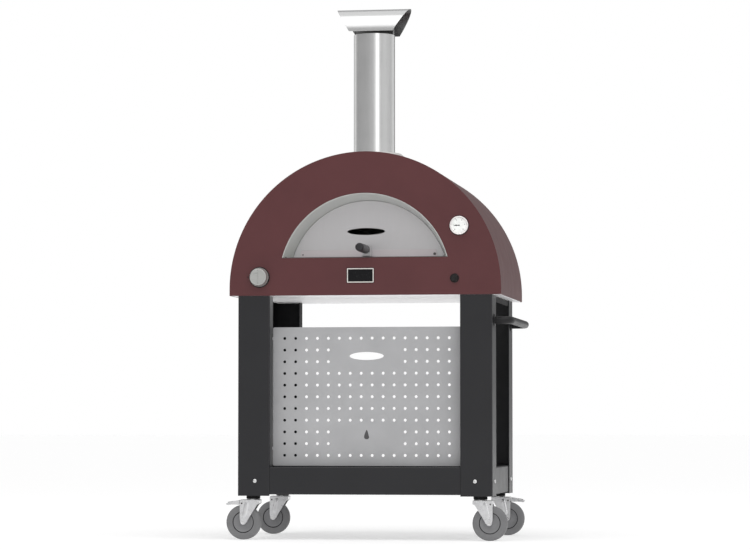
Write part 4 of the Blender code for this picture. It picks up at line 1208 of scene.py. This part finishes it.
class Caster:
    """One caster's pieces, round its swivel axis and the middle of its wheel."""

    def __init__(self, place):
        self.place = place
        self.swivel = axis_of("caster_spacer_" + place, "z")
        self.low, self.high = local_box("caster_wheel_" + place)
        self.wheel = (self.low + self.high) / 2
        self.trail = self.wheel.x - self.swivel.x
        self.turn = 0.0 if self.trail > 0 else math.pi

    def add(self, name, mesh, finish, at, slot="caster_zinc", body="caster_", **rest):
        return piece(name + self.place, mesh, finish, slot, body + self.place, at=at, **rest)

    def make_spacer(self):
        node = "caster_spacer_" + self.place
        low, high = local_box(node)
        radius, bore, floor = (high.x - low.x) / 2, 0.006, SPACER_Z
        waist = radius - 0.0008
        profile = [(bore, low.z), (bore, floor), (radius - 0.001, floor), (radius, floor + 0.001),
                   (radius, floor + 0.0036), (waist, floor + 0.0044), (waist, floor + 0.0054),
                   (radius, floor + 0.0062), (radius, high.z - 0.001), (radius - 0.001, high.z)]
        piece("spacer_disc_" + self.place, lathe(profile, "Z", sides=64), "spacer",
              "spacer_black", at=self.swivel, replaces=[node])

    def make_fork(self):
        """Pressed U of sheet steel: crown, two tapered legs with ribs, ball race on top."""
        node = "caster_fork_" + self.place
        low, high = local_box(node)
        half, inner = (high.y - low.y) / 2, (self.high.y - self.low.y) / 2 + 0.0008
        back, corner, crown = 0.0435, 0.003, CROWN_Z
        side_view = [(-0.025, crown - 0.012), (-0.016, crown - 0.018), (0.0165, 0.0650),
                     (0.0190, 0.0590)]
        side_view += arc((0.0315, 0.0605), 0.0098, 200, 350, 12)
        side_view += [(back - 0.0010, 0.0660), (back, 0.0740), (back, crown - 0.004)]
        side_view += arc((back - corner, crown - corner), corner, 0, 90, 4)
        side_view += arc((-0.022, crown - corner), corner, 90, 180, 4)
        slot = block((-0.06, -inner, 0.02), (0.09, inner, 0.1225))
        stud = rod(STUD_BORE, 0.11, 0.16, sides=32)
        axle_hole = moved(rod(AXLE_BORE, -0.04, 0.04, "Y", sides=32), abs(self.trail), 0,
                          self.wheel.z)
        fork = self.add("fork_legs_", prism(side_view, -half, half), "zinc", self.swivel,
                        turn_z=self.turn, replaces=[node], cuts=[slot, stud, axle_hole],
                        round_by=0.0012)
        middle_y, reach, bend_z = ORIGIN.y + self.swivel.y, inner + 0.0006, crown - 0.0075
        # the fork's top faces take the brightened race zinc: painted highlight
        second_finish(fork, "race", lambda at, way: at.z > bend_z)
        # faces inside the fork's slot are darkened: painted shade beside the wheel
        second_finish(fork, "dark_fixing_and_painted_shade",
                      lambda at, way: abs(at.y - middle_y) < reach and abs(way.y) > 0.5)
        top = high.z
        race = lathe([(STUD_BORE, crown + GAP), (0.0226, crown + GAP), (0.0230, crown + 0.0010),
                      (0.0222, top - 0.0004), (0.0210, top), (STUD_BORE, top)], "Z", True, 64)
        self.add("swivel_race_", race, "race", self.swivel)
        ribs = merged(rib((0.0170, crown - 0.0065), (0.0290, 0.0740), sign * half, sign, 0.0080)
                      for sign in (-1, 1))
        self.add("fork_ribs_", ribs, "zinc", self.swivel, turn_z=self.turn)
        rivet_x = self.swivel.x + math.cos(self.turn) * 0.036
        for name, y, facing in (("a_", -half, "front"), ("b_", half, "back")):
            fixings("fork_rivet_" + name + self.place, [(rivet_x, self.swivel.y + y, 0.1235)],
                    facing, 0.0030, 0.0009, "dark_fixing_and_painted_shade", "caster_zinc", "caster_" + self.place)

    def make_axle(self):
        """Bolt through the fork: a hexagon head and a washer in front, a nut behind."""
        node = "caster_axle_" + self.place
        low, high = local_box(node)
        half = (high.y - low.y) / 2
        shaft = lathe([(0.0050, -half + 0.001), (0.0050, half - 0.0002), (0.0042, half)], sides=32)
        self.add("axle_shaft_", shaft, "zinc", self.wheel, replaces=[node])
        plate_y = half - 0.0030
        for name, sign, finish, end in (("axle_head_", -1, "bolt", half),
                                        ("axle_nut_", 1, "dark_fixing_and_painted_shade", half - 0.0006)):
            ends = sorted((sign * (plate_y + 0.0008), sign * end))
            self.add(name, prism(circle((0, 0), 0.0072, 6), *ends), finish, self.wheel,
                     round_by=0.0006)
            washer = tube(0.0078, 0.0052, sign * plate_y, sign * (plate_y + 0.0007), 32)
            self.add(name + "washer_", washer, "dark_fixing_and_painted_shade", self.wheel)

    def make_wheel(self):
        """Grey rubber tyre round a plastic hub, with a dark seam between them."""
        radius, half = (self.high.z - self.low.z) / 2, (self.high.y - self.low.y) / 2
        seam, shoulder = radius * 0.60, 0.0050

        def both_sides(profile):
            return lathe(profile + [(r, -y) for r, y in reversed(profile)], closed=True)

        tyre = [(seam + 0.0012, half - 0.0030), (seam + 0.0012, half - 0.0006),
                (seam + 0.0018, half), (radius * 0.74, half - 0.0003),
                (radius * 0.86, half - 0.0009)]
        tyre += arc((radius - shoulder, half - 0.0012 - shoulder), shoulder, 75, 0, 5)
        self.add("tyre_", both_sides(tyre), "tyre", self.wheel, "wheel_grey", "wheel_",
                 replaces=["caster_wheel_" + self.place])
        hub = half - 0.0016
        profile = [(AXLE_BORE, hub - 0.0006), (0.0125, hub - 0.0006), (0.0132, hub - 0.0020),
                   (0.0165, hub - 0.0030), (radius * 0.44, hub - 0.0026),
                   (radius * 0.50, hub - 0.0006), (seam - 0.0022, hub),
                   (seam - 0.0014, hub - 0.0006)]
        self.add("hub_", both_sides(profile), "hub", self.wheel, "wheel_grey", "wheel_")
        seam_half = half - 0.0042
        band = tube(seam + 0.0015, seam - 0.0018, -seam_half, seam_half)
        self.add("wheel_seam_", band, "groove", self.wheel, "wheel_grey", "wheel_")

    def make_brake(self):
        """Pressed foot lever with grip ridges, on a cross pin."""
        node = "brake_lever_" + self.place
        low, high = local_box(node)
        half, pin = (high.y - low.y) / 2, 0.003
        reach = high.x - low.x - pin
        pivot = Vector((low.x + pin if self.trail > 0 else high.x - pin, (low.y + high.y) / 2,
                        high.z - pin))
        outline = arc((0, 0), pin, 70, 180, 8)
        outline += [(-pin, -0.0105), (-0.001, -0.0125), (reach * 0.45, -0.0118),
                    (reach - 0.006, -0.0140)]
        outline += arc((reach - 0.004, -0.0100), 0.0040, 250, 380, 8)
        outline += [(reach - 0.010, -0.0042), (reach * 0.55, -0.0018), (0.012, 0.0010)]
        self.add("lever_", prism(outline, -half, half), "zinc", pivot, body="brake_",
                 turn_z=self.turn, replaces=[node], round_by=0.0011, segments=3)
        ridges = []
        for i in range(4):
            x = reach * 0.52 + i * 0.0045
            top = -0.0016 - (x - reach * 0.55) * 0.20
            ridges.append(moved(rod(0.0010, pin - half, half - pin, "Y", sides=12), x, 0, top))
        self.add("lever_ridges_", merged(ridges), "dark_fixing_and_painted_shade", pivot, body="brake_",
                 turn_z=self.turn)


def make_casters():
    for place in PLACES:
        caster = Caster(place)
        caster.make_spacer()
        caster.make_fork()
        caster.make_axle()
        caster.make_wheel()
        if place in BRAKED:
            caster.make_brake()


# ---------------------------------------------------------------- studio
CAMERA_AZIMUTH = math.radians(9.024)
CAMERA_PITCH = math.radians(2.965)
CAMERA_AT = Vector((1.5942, -9.8058, 0.3863))
LENS_MM = 140.34


def make_camera():
    """The photograph's view."""
    data = bpy.data.cameras.new("camera")
    data.lens = LENS_MM
    data.sensor_width = 36
    data.clip_end = 400
    camera = bpy.data.objects.new("camera", data)
    camera.location = ORIGIN + CAMERA_AT
    camera.rotation_euler = (math.pi / 2 + CAMERA_PITCH, 0, CAMERA_AZIMUTH)
    bpy.context.collection.objects.link(camera)
    bpy.context.scene.camera = camera


def make_world():
    """Studio around the object: white behind it, dimmer in front, one bright strip, bright above."""
    world = bpy.data.worlds.new("studio")
    bpy.context.scene.world = world
    world.use_nodes = True
    nodes = Nodes(world.node_tree)
    maths, mix = nodes.maths, nodes.mix
    direction = nodes.node("TexCoord", "Generated", {})
    x, y, z = nodes.node("SeparateXYZ", "X", {"Vector": direction}).node.outputs
    # turned so that 0.5 is the side that the photograph is taken from, rising to the right
    cos_a, sin_a = math.cos(CAMERA_AZIMUTH), math.sin(CAMERA_AZIMUTH)
    across = maths("ADD", maths("MULTIPLY", x, cos_a), maths("MULTIPLY", y, sin_a))
    towards = maths("SUBTRACT", maths("MULTIPLY", x, sin_a), maths("MULTIPLY", y, cos_a))
    around = maths("ADD", maths("DIVIDE", maths("ARCTAN2", across, towards), 2 * math.pi), 0.5)
    height = maths("DIVIDE", maths("ARCSINE", z), math.pi / 2)

    def by_degrees(*stops):
        """Brightness by degrees round the object, from the side of the photograph."""
        return nodes.ramp(around, [(0.5 + degrees / 360, level) for degrees, level in stops])

    ring = by_degrees((-180, 0.45), (-158, 0.45), (-138, 1.0), (-112, 0.42), (-40, 0.46),
                      (-12, 0.58), (6, 0.80), (10, 1.0), (22, 1.0), (32, 0.64), (60, 0.76),
                      (105, 0.62), (136, 0.95), (152, 0.26), (174, 0.26), (180, 0.45))
    strip = by_degrees((-180, 0.0), (2, 0.0), (12, 1.0), (20, 1.0), (32, 0.0), (180, 0.0))
    front_above = nodes.ramp(height, [(0.0, 0.8), (0.30, 0.84), (0.40, 1.0), (0.86, 1.0),
                                      (0.97, 0.46)])
    back_above = nodes.ramp(height, [(0.0, 0.5), (0.25, 0.5), (0.6, 0.44), (1.0, 0.44)])
    behind = by_degrees((-104, 1.0), (-62, 0.0), (70, 0.0), (100, 1.0))
    lift = nodes.ramp(height, [(0.0, 0.0), (0.24, 0.0), (0.36, 1.0), (1.0, 1.0)])
    sky = mix(lift, ring, mix(behind, front_above, back_above))
    low_only, in_front = maths("SUBTRACT", 1.0, lift), maths("SUBTRACT", 1.0, behind)
    boost = maths("ADD", 1.0, maths("MULTIPLY", maths("MULTIPLY", strip, low_only), 0.9))
    boost = maths("ADD", boost, maths("MULTIPLY", maths("MULTIPLY", lift, in_front), 0.5))
    seen = nodes.node("LightPath", "Is Camera Ray", {})
    strength = maths("ADD", maths("MULTIPLY", boost, maths("SUBTRACT", 1.0, seen)), seen)
    background = nodes.tree.nodes["Background"].inputs
    nodes.give(background["Color"], mix(seen, sky, (1, 1, 1, 1)))
    nodes.give(background["Strength"], strength)


def make_floor():
    """Round pale floor, large enough to pass under every view."""
    recipe = Recipe("studio floor", (0.67, 0.67, 0.67), 0.9, Specular_IOR_Level=0.0,
                    Emission_Color=(1, 1, 1, 1), Emission_Strength=0.41)
    recipe.tint(recipe.noise(3, 2), 0.995, 1.0)
    mesh = loft([[(x, y, 0) for x, y in circle((0, 0), radius, 64)] for radius in (2, 8, 30, 120)],
                caps=(0,))
    floor = bpy.data.objects.new("studio_floor", mesh)
    floor.data.materials.append(recipe.material)
    bpy.context.collection.objects.link(floor)


def make_softbox():
    """Wide soft light above the oven, aimed at its middle."""
    data = bpy.data.lights.new("top softbox", "AREA")
    data.shape = "DISK"
    data.size = 6.0
    data.energy = 42
    light = bpy.data.objects.new("top softbox", data)
    light.location = (0.2, -0.1, 5.0)
    aim = Vector((0, 0, 0.8)) - light.location
    light.rotation_euler = aim.to_track_quat("-Z", "Y").to_euler()
    bpy.context.collection.objects.link(light)


def make_studio():
    make_camera()
    make_world()
    make_floor()
    make_softbox()
    bpy.context.scene.view_settings.view_transform = "Standard"
    bpy.context.scene.view_settings.look = "None"


# ---------------------------------------------------------------- build
for make in (make_studio, make_front, make_dome, make_rear, make_tray, make_mouth, make_badge,
             make_knob, make_igniter, make_dial, make_flue, make_collar, make_collar_skirt,
             make_cowl, make_door, make_hearth, make_burner, make_legs, make_rails, make_board,
             make_push_handle, make_casters):
    make()
